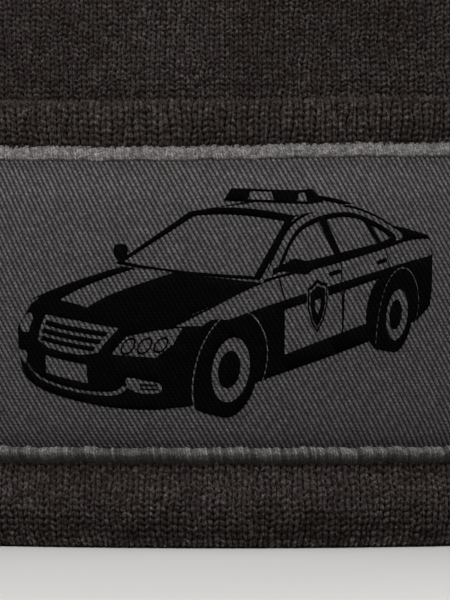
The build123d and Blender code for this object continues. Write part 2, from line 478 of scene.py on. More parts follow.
@dataclass
class CrownCloth(Cloth):
    """One of the crown's four gores, from behind the cuff up to the knot.

    Its columns run straight up, draw together a little over the shoulder, and from
    the darts upwards keep their width and end at the seams.
    """

    form: StitchForm
    plan: OvalPlan
    middle: float
    offset: float
    low: float
    dome_start: float
    top: float
    columns: int = 280
    dome_power: float = 2.0 / 2.3
    dome_end: float = math.radians(88.3)
    dart_scale: float = 0.83
    pucker: float = 1.5 * MM
    pucker_reach: float = 5.0 * MM
    sway: float = 0.45 * MM
    slack: float = 0.75 * MM
    slack_low: float = 102.0 * MM
    slack_high: float = 136.0 * MM
    lap: float = 0.0
    inside_out: bool = False
    start: int = 0
    steps: int = 400
    _lengths: Array = field(init=False, repr=False)
    _scales: Array = field(init=False, repr=False)
    _heights: Array = field(init=False, repr=False)

    def __post_init__(self) -> None:
        """Measure the way up the dome along a middling line."""
        angle = np.linspace(0.0, self.dome_end, self.steps)
        scales = np.cos(angle) ** self.dome_power
        heights = self.dome_start + (self.top - self.dome_start) * (
            np.sin(angle) ** self.dome_power
        )
        self._scales = np.concatenate([[1.0], scales])
        self._heights = np.concatenate([[self.low], heights])
        radius = self._scales * (self.plan.half_width + self.plan.half_depth) / 2.0
        radius = radius + self.offset * self._scales
        self._lengths = walked(np.stack([radius, self._heights], axis=-1))

    @property
    def rows(self) -> int:
        """Number of rows of stitches from the cuff to the knot."""
        return int(self._lengths[-1] / self.form.course)

    @property
    def half_columns(self) -> int:
        """Number of columns from the gore's middle to a seam."""
        return self.columns // 8

    @property
    def half_width(self) -> float:
        """Half the gore's width at its foot."""
        return self.plan.girth / 8.0

    def row_at(self, z: float) -> int:
        """Return the row on the crown nearest to a height."""
        return round(float(np.interp(z, self._heights, self._lengths)) / self.form.course)

    def scale_at(self, course: Array) -> Array:
        """Return how much the oval plan has shrunk at a row."""
        return np.interp(course * self.form.course, self._lengths, self._scales)

    def surface(self, wale: Array, course: Array) -> Array:
        """Return points of the cloth's middle surface."""
        up = course * self.form.course
        scale = self.scale_at(course)
        z = np.interp(up, self._lengths, self._heights)
        reach = self.half_width + self.lap
        off_middle = np.clip(self.off_middle(wale, scale), -reach, reach)
        along = self.middle + off_middle
        x, y, normal_x, normal_y = self.plan.place(along, self.offset, scale)

        gap = (self.half_width - np.abs(off_middle)) * scale
        dart = smooth_step(self.dart_scale + 0.02, self.dart_scale - 0.12, scale)
        sink = self.pucker * dart * bell(gap, self.pucker_reach)
        turn = 2.0 * math.pi * along / self.plan.girth
        loose = np.sin(5.0 * turn + 45.0 * z) + np.sin(8.0 * turn - 70.0 * z + 1.0)
        fade = smooth_step(self.low + 5.0 * MM, self.low + 25.0 * MM, z) * scale
        push = self.sway * loose * fade - sink + self.folds(turn, z) * scale
        ahead = np.interp(up + 1.0 * MM, self._lengths, self._heights)
        behind = np.interp(up - 1.0 * MM, self._lengths, self._heights)
        level = np.clip((ahead - behind) / (2.0 * MM), 0.0, 1.0)
        rise = np.sqrt(1.0 - level * level)
        return np.stack(
            [x + push * normal_x * level, y + push * normal_y * level, z + push * rise],
            axis=-1,
        )

    def folds(self, turn: Array, z: Array) -> Array:
        """Return how far the slack upper part stands out or in, in slow soft folds."""
        wave = 1.3 * np.sin(3.0 * turn + 30.0 * z + 0.6)
        wave = wave + 0.9 * np.sin(5.0 * turn - 42.0 * z + 2.0)
        wave = wave + 0.6 * np.sin(8.0 * turn + 65.0 * z + 4.0)
        return self.slack * wave * smooth_step(self.slack_low, self.slack_high, z)

    def spread(self, scale: Array) -> Array:
        """Return how much the columns fan out over the plan where the dome is narrower."""
        return np.maximum(1.0, self.dart_scale / scale)

    def off_middle(self, wale: Array, scale: Array) -> Array:
        """Return how far columns are from the gore's middle, round the full plan."""
        return wale * (self.plan.girth / self.columns) * self.spread(scale)

    def seam_gap(self, wale: Array, course: Array) -> Array:
        """Return how far places lie inside the gore's two seams."""
        scale = self.scale_at(course)
        return (self.half_width - np.abs(self.off_middle(wale, scale))) * scale

    def inside(self, wale: Array, course: Array) -> Array:
        """Return where the cloth hasn't been cut off at a seam."""
        return self.seam_gap(wale, course) > 1e-7

    def seam_wale(self, course: Array) -> Array:
        """Return the column at which the gore ends, on its positive side."""
        return self.half_columns / self.spread(self.scale_at(course))

    def give(self, wale: Array) -> Array:
        """Return the share of the sideways wander kept, none at the gore's sides."""
        return smooth_step(0.0, 1.5, self.half_columns - np.abs(wale))

    def flatten(self, wale: Array, course: Array) -> Array:
        """Return the share of the relief kept, less where columns end at a seam."""
        scale = self.scale_at(course)
        above_darts = smooth_step(self.dart_scale, self.dart_scale - 0.05, scale)
        near = smooth_step(-0.2 * MM, 1.0 * MM, self.seam_gap(wale, course))
        return 1.0 - above_darts * (1.0 - near)


def put(name: str, data: bpy.types.ID) -> Piece:
    """Put a new object with its mesh, camera or light into the scene."""
    thing = bpy.data.objects.new(name, data)
    bpy.context.scene.collection.objects.link(thing)
    return thing


@dataclass
class Skin:
    """Vertices, faces and maps of one piece, gathered from one or more grids."""

    places: list[Array] = field(default_factory=list)
    faces: list[Array] = field(default_factory=list)
    knit_map: list[Array] = field(default_factory=list)
    bake_map: list[Array] = field(default_factory=list)
    tones: list[Array] = field(default_factory=list)
    count: int = 0
    bake_margin: float = 0.004

    def add(
        self, places: Array, faces: Array, knit: Array, bake: Array, tone: Array | float = 1.0
    ) -> None:
        """Add a grid, leaving out the vertices that none of its faces use.

        Args:
            places: The vertices.
            faces: Their numbers, a row for each face.
            knit: Their places in stitches or threads, which the finishes read.
            bake: Their places laid out flat, in metres.
            tone: Their tone, with painted light and shade, one for all or one for each.
        """
        used, renumbered = np.unique(faces, return_inverse=True)
        self.places.append(places.reshape(-1, 3)[used])
        self.faces.append(renumbered.reshape(faces.shape) + self.count)
        self.knit_map.append(knit.reshape(-1, 2)[used])
        self.bake_map.append(bake.reshape(-1, 2)[used])
        self.tones.append(np.broadcast_to(tone, places.shape[:-1]).ravel()[used])
        self.count += len(used)

    def fitted_bake_map(self) -> Array:
        """Return the bake maps of all grids, scaled into the unit square."""
        every = np.concatenate(self.bake_map)
        low = every.min(axis=0)
        size = float((every.max(axis=0) - low).max()) * 1.01
        return (every - low) / size + self.bake_margin

    def piece(self, name: str, material: bpy.types.Material) -> Piece:
        """Make the Blender object.

        Args:
            name: Name of the piece.
            material: Its finish.

        Returns:
            The new object, smooth shaded, with its maps and its yarn tones.
        """
        places = np.concatenate(self.places)
        faces = np.concatenate(self.faces)
        mesh = bpy.data.meshes.new(name)
        mesh.vertices.add(len(places))
        mesh.vertices.foreach_set("co", places.astype(np.float32).ravel())
        mesh.loops.add(faces.size)
        mesh.loops.foreach_set("vertex_index", faces.astype(np.int32).ravel())
        mesh.polygons.add(len(faces))
        starts = np.arange(0, faces.size, faces.shape[1], dtype=np.int32)
        mesh.polygons.foreach_set("loop_start", starts)
        mesh.update(calc_edges=True)
        maps = {"OFBake": self.fitted_bake_map(), "Knit": np.concatenate(self.knit_map)}
        for title, values in maps.items():
            layer = mesh.uv_layers.new(name=title)
            layer.uv.foreach_set("vector", values[faces.ravel()].astype(np.float32).ravel())
        tone = mesh.attributes.new("tone_and_painted_light", "FLOAT", "POINT")
        tone.data.foreach_set("value", np.concatenate(self.tones).astype(np.float32))
        mesh.validate()
        mesh.shade_smooth()
        mesh.materials.append(material)
        return put(name, mesh)


def join_normals(pieces: Sequence[Piece], cell: float = 0.02 * MM) -> None:
    """Give the places where pieces or blocks meet one normal, so that no joint shows.

    Args:
        pieces: Pieces whose edges lie on one another.
        cell: Distance within which two vertices count as one place.
    """
    meshes = [piece.data for piece in pieces]
    counts = [len(mesh.vertices) for mesh in meshes]
    places = np.empty((sum(counts), 3), np.float32)
    normals = np.empty((sum(counts), 3), np.float32)
    starts = np.concatenate([[0], np.cumsum(counts)])
    for mesh, start, end in zip(meshes, starts, starts[1:]):
        mesh.vertices.foreach_get("co", places[start:end].reshape(-1))
        mesh.vertex_normals.foreach_get("vector", normals[start:end].reshape(-1))
    keys = np.round(places / cell).astype(np.int64) @ np.array([1, 1 << 20, 1 << 40])
    _, where = np.unique(keys, return_inverse=True)
    where = where.ravel()
    total = np.stack([np.bincount(where, normals[:, axis]) for axis in range(3)], axis=-1)
    joined = unit(total[where])
    for mesh, start, end in zip(meshes, starts, starts[1:]):
        mesh.normals_split_custom_set_from_vertices(joined[start:end].tolist())


def grid_faces(rows: int, columns: int, flip: bool = False) -> Array:
    """Return the four-sided faces of a grid of vertices, row by row."""
    corner = np.arange(rows * columns).reshape(rows, columns)
    faces = np.stack(
        [corner[:-1, :-1], corner[:-1, 1:], corner[1:, 1:], corner[1:, :-1]], axis=-1
    ).reshape(-1, 4)
    return faces[:, ::-1] if flip else faces


@dataclass
class KnitPanel:
    """A block of stitches on a cloth, with its mesh detail.

    coarse_from is the column and the row from which the cloth around a fine block is
    coarse. Within ease columns and rows of them the fine stitches turn plainer.
    """

    cloth: Cloth
    wales: tuple[int, int]
    courses: tuple[int, int]
    detail: Detail = Detail.PLAIN
    keep: Callable[[Array, Array], Array] | None = None
    coarse_from: tuple[float, float] | None = None
    ease: tuple[float, float] = (9.0, 7.0)
    edge_shade: float = 0.76

    def plainness(self, wale: Array, course: Array) -> Array:
        """Return 1 where stitches are coarse, easing to 0 inside a fine block."""
        if self.detail in (Detail.RIB, Detail.ROWS):
            return np.ones_like(wale)
        if self.coarse_from is None:
            return np.zeros_like(wale)
        column, row = self.coarse_from
        inside = smooth_step(0.0, self.ease[0], np.abs(wale - column))
        return 1.0 - inside * smooth_step(0.0, self.ease[1], row - course)

    def tone(self, counted: Array, course: Array, plain: Array) -> Array:
        """Return the tone of each leg of yarn: random, times painted shade that evens out the
        blocks.
        """
        form = self.cloth.form
        shade = self.detail.value[2]
        if self.coarse_from is not None:
            shade = shade + (self.edge_shade - shade) * plain
        return (1.0 + form.tone_range * form.luck(counted + 0.01, course + 0.01, 3)) * shade

    def knit(self, skin: Skin) -> None:
        """Lay the stitches and add them to the skin of the piece they become part of."""
        cloth, form = self.cloth, self.cloth.form
        across, along, _ = self.detail.value
        columns = int((self.wales[1] - self.wales[0]) * across)
        wale = self.wales[0] + np.arange(columns + 1) / across
        rows = math.ceil((self.courses[1] - self.courses[0]) * along)
        course = self.courses[0] + np.arange(rows + 1) / along
        wale, course = np.meshgrid(wale, course)
        counted = wale + cloth.start
        slanted = course + form.slant * (0.5 - form.legs(wale))
        slanted = slanted + form.row_drift * form.drift(counted, course, (1, 3), 5)
        plain = self.plainness(wale, course)
        relief = form.relief(counted, course, plain) * cloth.flatten(wale, slanted)
        relief = relief + form.roughness * form.drift(4.0 * counted, 2.0 * course, (1, 1), 8)
        opening = cloth.opening(course) * smooth_step(0.55, 1.0, form.legs(counted))
        relief = relief - form.opening_depth * opening
        wander = form.wander * form.drift(counted, course, (1, 2), 6)
        wander = wander + form.slow_wander * form.drift(counted, course, (4, 9), 7)
        places = cloth.surface(wale + wander * cloth.give(wale), slanted)
        places = places + cloth.normals(wale, slanted) * relief[..., None]
        if self.detail is Detail.FINE:
            self.ease_sides(places)
        # The cloth adds its painted shade and painted light, and opened columns get painted shade
        # between them.
        tone = self.tone(counted, course, plain) * cloth.painted_shading(wale, course)
        tone = tone * (1.0 - form.opening_shade * opening)
        faces = grid_faces(*wale.shape, flip=cloth.inside_out)
        if self.keep is not None:
            kept = self.keep(wale, slanted).ravel()
            faces = faces[kept[faces].any(axis=1)]
        bake = pairs(wale * form.wale, slanted * form.course)
        skin.add(places, faces, pairs(counted, course), bake, tone)

    @staticmethod
    def ease_sides(places: Array) -> None:
        """Put the extra vertices of a fine block's sides on its plain neighbours' edges."""
        for side in (places[0], places[-1], places[:, 0], places[:, -1]):
            side[1:-1:2] = (side[0:-2:2] + side[2::2]) / 2.0


@dataclass(frozen=True)
class PatchPlace:
    """The patch's outline on the cuff, and points on and above it.

    Places are u along the cloth from the middle of the front, and v up from the
    middle of the patch.
    """

    plan: OvalPlan
    wave: ClothWave
    width: float
    height: float
    bottom: float
    corner: float
    bow: float = 1.6 * MM
    sunk: float = 0.6 * MM
    top_lift: float = 0.2 * MM
    edge_dip: float = 1.5 * MM
    dip_reach: float = 2.5 * MM
    edge_width: float = 3.0 * MM
    tuck: float = 0.9 * MM
    tuck_from: tuple[float, float] = (-2.1 * MM, -1.1 * MM)

    @property
    def middle(self) -> float:
        """Height of the patch's middle above the floor."""
        return self.bottom + self.height / 2.0

    def place(self, u: Array, v: Array, out: Array | float) -> Array:
        """Return points that stand out from the cuff's face by a length."""
        z = v + self.middle + self.top_lift * smooth_step(0.0, self.height / 2.0, v)
        bowed = self.bow * (1.0 - (2.0 * v / self.height) ** 2) - self.sunk
        x, y, _, _ = self.plan.place(u, out + bowed + self.wave.push(u, z))
        return np.stack([x, y, z + self.wave.rise(u, z)], axis=-1)

    def dip(self, u: Array, v: Array) -> Array:
        """Return how far the ground sinks, under the wrapped edge and above its bottom."""
        beyond = self.beyond(u, v)
        inside = np.clip(-beyond - self.edge_width, 0.0, None)
        share = 1.0 - smooth_step(-0.5 * self.height, 0.5 * self.height, v)
        under = smooth_step(*self.tuck_from, beyond)
        return self.edge_dip * share * np.exp(-inside / self.dip_reach) + self.tuck * under

    def beyond(self, u: Array, v: Array) -> Array:
        """Return how far places lie outside the outline, negative inside it."""
        across = np.abs(u) - (self.width / 2.0 - self.corner)
        up = np.abs(v) - (self.height / 2.0 - self.corner)
        outside = np.hypot(np.maximum(across, 0.0), np.maximum(up, 0.0))
        return outside + np.minimum(np.maximum(across, up), 0.0) - self.corner

    def outline(self, inset: float, count: int) -> tuple[Array, Array, Array, Array, float]:
        """Walk round the outline, moved in by a length.

        Args:
            inset: How far inside the outline the walk is.
            count: Number of even steps.

        Returns:
            u and v of the points, u and v of the outward normals, and the length.
        """
        bend = self.corner - inset
        straight_u = self.width - 2.0 * self.corner
        straight_v = self.height - 2.0 * self.corner
        quarter = bend * math.pi / 2.0
        ends = np.cumsum((0.0, *(straight_u, quarter, straight_v, quarter) * 2))
        walk = np.arange(count) / count * ends[-1]
        leg = np.clip(np.searchsorted(ends, walk, side="right") - 1, 0, 7)
        along = walk - ends[leg]
        round_part = leg % 2 == 1
        angle = (leg // 2 - 1) * math.pi / 2.0 + np.where(round_part, along / bend, 0.0)
        run = np.where(round_part, 0.0, along)
        centre_u = np.where(leg < 4, 1, -1) * straight_u / 2.0
        centre_v = np.where((leg > 1) & (leg < 6), 1, -1) * straight_v / 2.0
        centre_u = np.where(leg == 0, -straight_u / 2.0 + run, centre_u)
        centre_u = np.where(leg == 4, straight_u / 2.0 - run, centre_u)
        centre_v = np.where(leg == 2, -straight_v / 2.0 + run, centre_v)
        centre_v = np.where(leg == 6, straight_v / 2.0 - run, centre_v)
        normal_u, normal_v = np.cos(angle), np.sin(angle)
        u, v = centre_u + bend * normal_u, centre_v + bend * normal_v
        return u, v, normal_u, normal_v, float(ends[-1])


class Shader:
    """The nodes of one material, wired by short calls."""

    def __init__(self, name: str) -> None:
        """Start a material with a Principled shader."""
        self.material = bpy.data.materials.new(name)
        self.material.use_nodes = True
        self.tree = self.material.node_tree
        self.surface = self.tree.nodes["Principled BSDF"]

    def node(self, kind: str, **settings: object) -> bpy.types.Node:
        """Add a node and set its properties."""
        node = self.tree.nodes.new(kind)
        for name, value in settings.items():
            setattr(node, name, value)
        return node

    def join(self, source: Value | Colour, socket: Socket) -> None:
        """Link a socket, or set a plain number or colour on it."""
        if isinstance(source, Socket):
            self.tree.links.new(source, socket)
        else:
            socket.default_value = source

    def fed(self, node: bpy.types.Node, *values: Value) -> Socket:
        """Give a node's inputs their values in order, and return its first output."""
        for value, socket in zip(values, node.inputs):
            self.join(value, socket)
        return node.outputs[0]

    def math(self, operation: str, *values: Value) -> Socket:
        """Return the result of a Math node."""
        return self.fed(self.node("ShaderNodeMath", operation=operation), *values)

    def times(self, first: Value, second: Value) -> Socket:
        """Return the product of two values."""
        return self.math("MULTIPLY", first, second)

    def point(self, x: Value, y: Value, z: Value = 0.0) -> Socket:
        """Return a vector of three values."""
        return self.fed(self.node("ShaderNodeCombineXYZ"), x, y, z)

    def ramp(self, value: Value, low: float, high: float, start: float, end: float) -> Socket:
        """Map a value between two limits to another range, with smooth ends."""
        node = self.node("ShaderNodeMapRange", interpolation_type="SMOOTHSTEP")
        return self.fed(node, value, low, high, start, end)

    def shaded(self, strength: Value, *casts: tuple[Value, float, float, float, float]) -> Socket:
        """Multiply a strength by ramps, each given by its value, limits and range."""
        for cast in casts:
            strength = self.times(strength, self.ramp(*cast))
        return strength

    def layered(self, height: Value, *layers: tuple[Value, float]) -> Socket:
        """Add layers to a height, each given by its value and its weight."""
        for layer, weight in layers:
            height = self.math("MULTIPLY_ADD", layer, weight, height)
        return height

    def places(self) -> Socket:
        """Return the object's own coordinates, in metres."""
        return self.node("ShaderNodeTexCoord").outputs["Object"]

    def map_parts(self, name: str) -> tuple[Socket, Socket]:
        """Return the two coordinates of one of the mesh's maps."""
        parts = self.node("ShaderNodeSeparateXYZ")
        self.fed(parts, self.node("ShaderNodeUVMap", uv_map=name).outputs[0])
        return parts.outputs[0], parts.outputs[1]

    def tone_and_painted_light(self) -> Socket:
        """Return the tone of each leg of yarn or stretch of cloth, with its painted light and
        shade.
        """
        return self.node("ShaderNodeAttribute", attribute_name="tone_and_painted_light").outputs["Fac"]

    def noise(self, where: Socket, scale: float, detail: float = 2.0) -> Socket:
        """Return smooth noise from 0 to 1."""
        node = self.node("ShaderNodeTexNoise")
        self.join(where, node.inputs["Vector"])
        node.inputs["Scale"].default_value = scale
        node.inputs["Detail"].default_value = detail
        return node.outputs[0]

    def grain(self, across: Value, along: Value, detail: float = 2.0) -> Socket:
        """Return noise over two coordinates of the cloth."""
        return self.noise(self.point(across, along), 1.0, detail)

    def off_middle(self, count: Value) -> Socket:
        """Return how far a count is from the middle between two whole numbers."""
        return self.math("ABSOLUTE", self.math("SUBTRACT", self.math("FRACT", count), 0.5))

    def ridge(self, count: Value) -> Socket:
        """Return 1 midway between two whole numbers, falling evenly to 0 at them."""
        return self.math("SUBTRACT", 1.0, self.times(self.off_middle(count), 2.0))

    def join_colour(self, colour: Colour, socket: Socket) -> None:
        """Give a colour socket plain values or another socket's colour."""
        self.join(colour if isinstance(colour, Socket) else (*colour, 1.0), socket)

    def mixed(self, first: Colour, second: Colour, share: Value, blend: str = "MIX") -> Socket:
        """Return a mix of two colours."""
        node = self.node("ShaderNodeMix", data_type="RGBA", blend_type=blend)
        self.join(share, node.inputs[0])
        self.join_colour(first, node.inputs[6])
        self.join_colour(second, node.inputs[7])
        return node.outputs[2]

    def tint(self, colour: Colour, strength: Value) -> None:
        """Set the base colour to one colour times a strength."""
        grey = self.fed(self.node("ShaderNodeCombineColor"), strength, strength, strength)
        tinted = self.mixed(colour, grey, 1.0, "MULTIPLY")
        self.join(tinted, self.surface.inputs["Base Color"])

    def bump(self, height: Value, depth: float) -> None:
        """Raise the surface by a height from 0 to 1 times a depth in metres."""
        node = self.node("ShaderNodeBump")
        node.inputs["Strength"].default_value = 1.0
        node.inputs["Distance"].default_value = depth
        self.join(height, node.inputs["Height"])
        self.join(node.outputs[0], self.surface.inputs["Normal"])

    def finish(self, roughness: float, sheen: float, specular: float) -> bpy.types.Material:
        """Set the plain surface values and return the material."""
        self.surface.inputs["Roughness"].default_value = roughness
        self.surface.inputs["Specular IOR Level"].default_value = specular
        self.surface.inputs["Sheen Weight"].default_value = sheen
        self.surface.inputs["Sheen Roughness"].default_value = 0.45
        return self.material


@dataclass(frozen=True)
class YarnFinish:
    """Matt acrylic yarn, knitted: two plies, hairy, with painted shade in the groove between
    loops.
    """

    name: str
    colour: tuple[float, float, float]
    slot: str
    bumpy: float = 0.16 * MM
    stitched: float = 0.5
    roughness: float = 0.95
    sheen: float = 0.10
    specular: float = 0.1
    warm: tuple[float, float, float] = (1.0, 1.01, 0.94)
    cool: tuple[float, float, float] = (1.0, 0.98, 1.03)
    shade_cast: tuple[float, float, float] = (1.3, 0.92, 0.80)

    def material(self) -> bpy.types.Material:
        """Make the material, which reads the stitches' columns and rows."""
        shader = Shader(self.name)
        wale, course = shader.map_parts("Knit")
        where = shader.places()
        half = shader.off_middle(wale)
        off_ridge = shader.math("ABSOLUTE", shader.math("SUBTRACT", half, 0.25))
        valley = shader.math("POWER", shader.times(off_ridge, 4.0), 2.0)
        ridge = shader.math("SUBTRACT", 1.0, valley)
        swell = shader.math("SINE", shader.times(shader.math("FRACT", course), math.pi))
        loop = shader.times(ridge, shader.math("MULTIPLY_ADD", swell, 0.6, 0.4))
        step = shader.math("COSINE", shader.times(course, 2.0 * math.pi))
        hole = shader.math("MULTIPLY_ADD", step, 0.5, 0.5)
        pit = shader.times(shader.math("SUBTRACT", 1.0, ridge), hole)
        twist = shader.layered(shader.times(half, 14.0 * math.pi), (course, 4.0 * math.pi))
        hair = shader.noise(where, 2500.0, 2.0)
        fluff = shader.noise(where, 1100.0, 3.0)
        clump = shader.noise(where, 420.0, 1.0)
        cloud = shader.noise(where, 45.0, 2.0)
        fibre = shader.grain(
            shader.layered(shader.times(course, -1.6), (half, 6.5)),
            shader.layered(course, (wale, 2.3)),
        )
        height = shader.layered(
            shader.times(loop, self.stitched),
            (fibre, 1.0),
            (hair, 1.2),
            (fluff, 0.8),
            (shader.math("SINE", twist), 0.10),
        )
        shader.bump(height, self.bumpy)

        # The first two ramps paint shade: darker in the grooves between loops, nearly black in the
        # holes between rows.
        strength = shader.shaded(
            shader.ramp(loop, 0.0, 0.8, 0.56, 1.2),
            (pit, 0.1, 0.8, 1.1, 0.2),
            (hair, 0.38, 0.64, 0.5, 1.75),
            (fibre, 0.36, 0.64, 0.7, 1.38),
            (fluff, 0.35, 0.65, 0.65, 1.35),
            (clump, 0.35, 0.65, 0.86, 1.14),
        )
        strength = shader.times(strength, shader.tone_and_painted_light())
        strength = shader.shaded(strength, (cloud, 0.3, 0.7, 0.86, 1.14))
        # The painted shade takes a redder copy of the colour than the lit yarn.
        warm, cool, shade_cast = (
            np.multiply(self.colour, cast).tolist() for cast in (self.warm, self.cool, self.shade_cast)
        )
        patchy = shader.ramp(shader.noise(where, 330.0, 1.0), 0.42, 0.58, 0.0, 1.0)
        lit = shader.mixed(warm, cool, patchy)
        shader.tint(shader.mixed(shade_cast, lit, shader.ramp(strength, 0.3, 1.3, 0.0, 1.0)), strength)
        return shader.finish(self.roughness, self.sheen, self.specular)


@dataclass(frozen=True)
class TwillFinish:
    """Woven twill: pale floats on the ribs, with painted shade in dotted lines between them."""

    name: str
    colour: tuple[float, float, float]
    slot: str
    lines: float = 0.5
    sheen: float = 0.08
    roughness: float = 0.85
    specular: float = 0.25
    bumpy: float = 0.12 * MM
    rib_tone: float = 1.42
    gap_tone: tuple[float, float] = (0.20, 0.24)
    gap_width: tuple[float, float] = (0.12, 0.74)

    def material(self) -> bpy.types.Material:
        """Make the material, which reads the ribs and the threads across them."""
        shader = Shader(self.name)
        rib, thread = shader.map_parts("Knit")
        where = shader.places()
        ridge = shader.ridge(rib)
        beads = shader.math("SINE", shader.times(thread, 2.0 * math.pi))
        floats = shader.grain(shader.times(rib, 2.0), shader.times(thread, 0.8))
        hair = shader.noise(where, 3200.0, 2.0)
        fluff = shader.noise(where, 700.0, 3.0)
        height = shader.layered(shader.times(hair, 0.5), (ridge, self.lines), (beads, 0.2))
        shader.bump(height, self.bumpy)
        # Painted shade in the gaps between ribs, dotted where the threads cross.
        dot = shader.math("MULTIPLY_ADD", beads, *self.gap_tone)
        gap = shader.ramp(ridge, *self.gap_width, 1.0, 0.0)
        darker = shader.math("SUBTRACT", dot, self.rib_tone)
        strength = shader.math("MULTIPLY_ADD", darker, gap, self.rib_tone)
        strength = shader.shaded(
            shader.times(strength, shader.math("MULTIPLY_ADD", beads, -0.14, 1.0)),
            (floats, 0.3, 0.7, 0.80, 1.24),
            (hair, 0.35, 0.65, 0.68, 1.38),
            (fluff, 0.3, 0.7, 0.85, 1.18),
        )
        shader.tint(self.colour, shader.times(strength, shader.tone_and_painted_light()))
        return shader.finish(self.roughness, self.sheen, self.specular)


@dataclass(frozen=True)
class ThreadFinish:
    """Polyester overlock thread, wound side by side, with a slight sheen."""

    name: str
    colour: tuple[float, float, float]
    slot: str
    roughness: float = 0.62
    sheen: float = 0.2
    specular: float = 0.35
    bumpy: float = 0.14 * MM

    def material(self) -> bpy.types.Material:
        """Make the material, which reads the threads and the way round their bead."""
        shader = Shader(self.name)
        thread, round_bead = shader.map_parts("Knit")
        where = shader.places()
        ridge = shader.ridge(thread)
        along = shader.times(round_bead, 0.55)
        fibre = shader.grain(shader.times(thread, 1.7), along, 3.0)
        crossing = shader.layered(thread, (round_bead, 1.3))
        stray = shader.grain(shader.times(crossing, 1.6), shader.times(along, 0.7))
        hair = shader.noise(where, 3200.0, 3.0)
        fluff = shader.noise(where, 1500.0, 2.0)
        height = shader.layered(
            shader.times(hair, 1.4), (ridge, 0.25), (fibre, 0.7), (stray, 0.9), (fluff, 1.2)
        )
        shader.bump(height, self.bumpy)
        # The first ramp paints a little shade in the grooves between windings.
        strength = shader.shaded(
            shader.ramp(ridge, 0.0, 0.7, 0.9, 1.03),
            (hair, 0.35, 0.65, 0.55, 1.52),
            (fluff, 0.35, 0.65, 0.66, 1.36),
            (fibre, 0.3, 0.7, 0.8, 1.2),
            (stray, 0.35, 0.65, 0.8, 1.22),
        )
        shader.tint(self.colour, shader.times(strength, shader.tone_and_painted_light()))
        return shader.finish(self.roughness, self.sheen, self.specular)


def dress(piece: Piece, nodes: Sequence[str] = ()) -> Piece:
    """Let a piece ride on the hat and the nodes it stands for."""
    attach(piece, BODY)
    if nodes:
        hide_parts(*nodes)
    LOG.info("%s: %d faces", piece.name, len(piece.data.polygons))
    return piece


@dataclass
class Cuff:
    """Turned-up cuff, knitted in four pieces that share their edges."""

    cloth: CuffCloth
    patch: PatchPlace
    finish: YarnFinish
    front_columns: int = 32
    fine_columns: int = 21
    under_patch: float = 1.2 * MM

    def showing(self, wale: Array, course: Array) -> Array:
        """Return where the cuff isn't covered by the patch."""
        cloth = self.cloth
        z = course * cloth.form.course - cloth.bends[1] + cloth.fold_radius
        on_face = (z > cloth.fold_radius) & (z < cloth.top - cloth.edge_radius)
        u = wale * cloth.plan.girth / cloth.columns
        covered = self.patch.beyond(u, z - self.patch.middle) < -self.under_patch
        return ~(covered & on_face)

    def knit_front(self) -> Skin:
        """Knit the front, fine in its middle and left open behind the patch."""
        side, fine, rows = self.front_columns, self.fine_columns, self.cloth.rows
        low = self.cloth.row_at(self.patch.bottom + 2.0 * MM)
        high = self.cloth.row_at(self.patch.bottom + self.patch.height - 2.0 * MM)
        skin = Skin()
        for wales, courses, detail in (
            ((-fine, fine), (0, low), Detail.FINE),
            ((-fine, fine), (high, rows), Detail.FINE),
            ((-side, -fine), (0, rows), Detail.PLAIN),
            ((fine, side), (0, rows), Detail.PLAIN),
        ):
            KnitPanel(self.cloth, wales, courses, detail, self.showing).knit(skin)
        return skin

    def build(self) -> list[Piece]:
        """Knit the four pieces of the cuff."""
        material = self.finish.material()
        side, half = self.front_columns, self.cloth.columns // 2
        skins = {"cuff_knit_front": self.knit_front()}
        for name, wales in {
            "cuff_knit_right": (side, half - side),
            "cuff_knit_back": (half - side, half + side),
            "cuff_knit_left": (half + side, 2 * half - side),
        }.items():
            skins[name] = Skin()
            KnitPanel(self.cloth, wales, (0, self.cloth.rows)).knit(skins[name])
        pieces = []
        for name, skin in skins.items():
            piece = skin.piece(name, material)
            pieces.append(dress(piece, ("cuff_band", "brim_fold")))
        join_normals(pieces)
        return pieces


@dataclass
class GoredLayer:
    """A layer of the crown, knitted as four gores that draw together at its top."""

    form: StitchForm
    plan: OvalPlan
    finish: YarnFinish
    offset: float
    low: float
    dome_start: float
    top: float

    def gore(self, quarter: int, **changes: float) -> CrownCloth:
        """Make the cloth of one gore.

        Args:
            quarter: Its number, counted from the front right one.
            changes: Fields of the cloth that differ from their usual values.

        Returns:
            The cloth, with its columns counted on from those of the gore before.
        """
        middle = (quarter + 0.5) * self.plan.quarter
        shape = (self.offset, self.low, self.dome_start, self.top)
        cloth = CrownCloth(self.form, self.plan, middle, *shape, **changes)
        cloth.start = (2 * quarter + 1) * cloth.half_columns
        return cloth


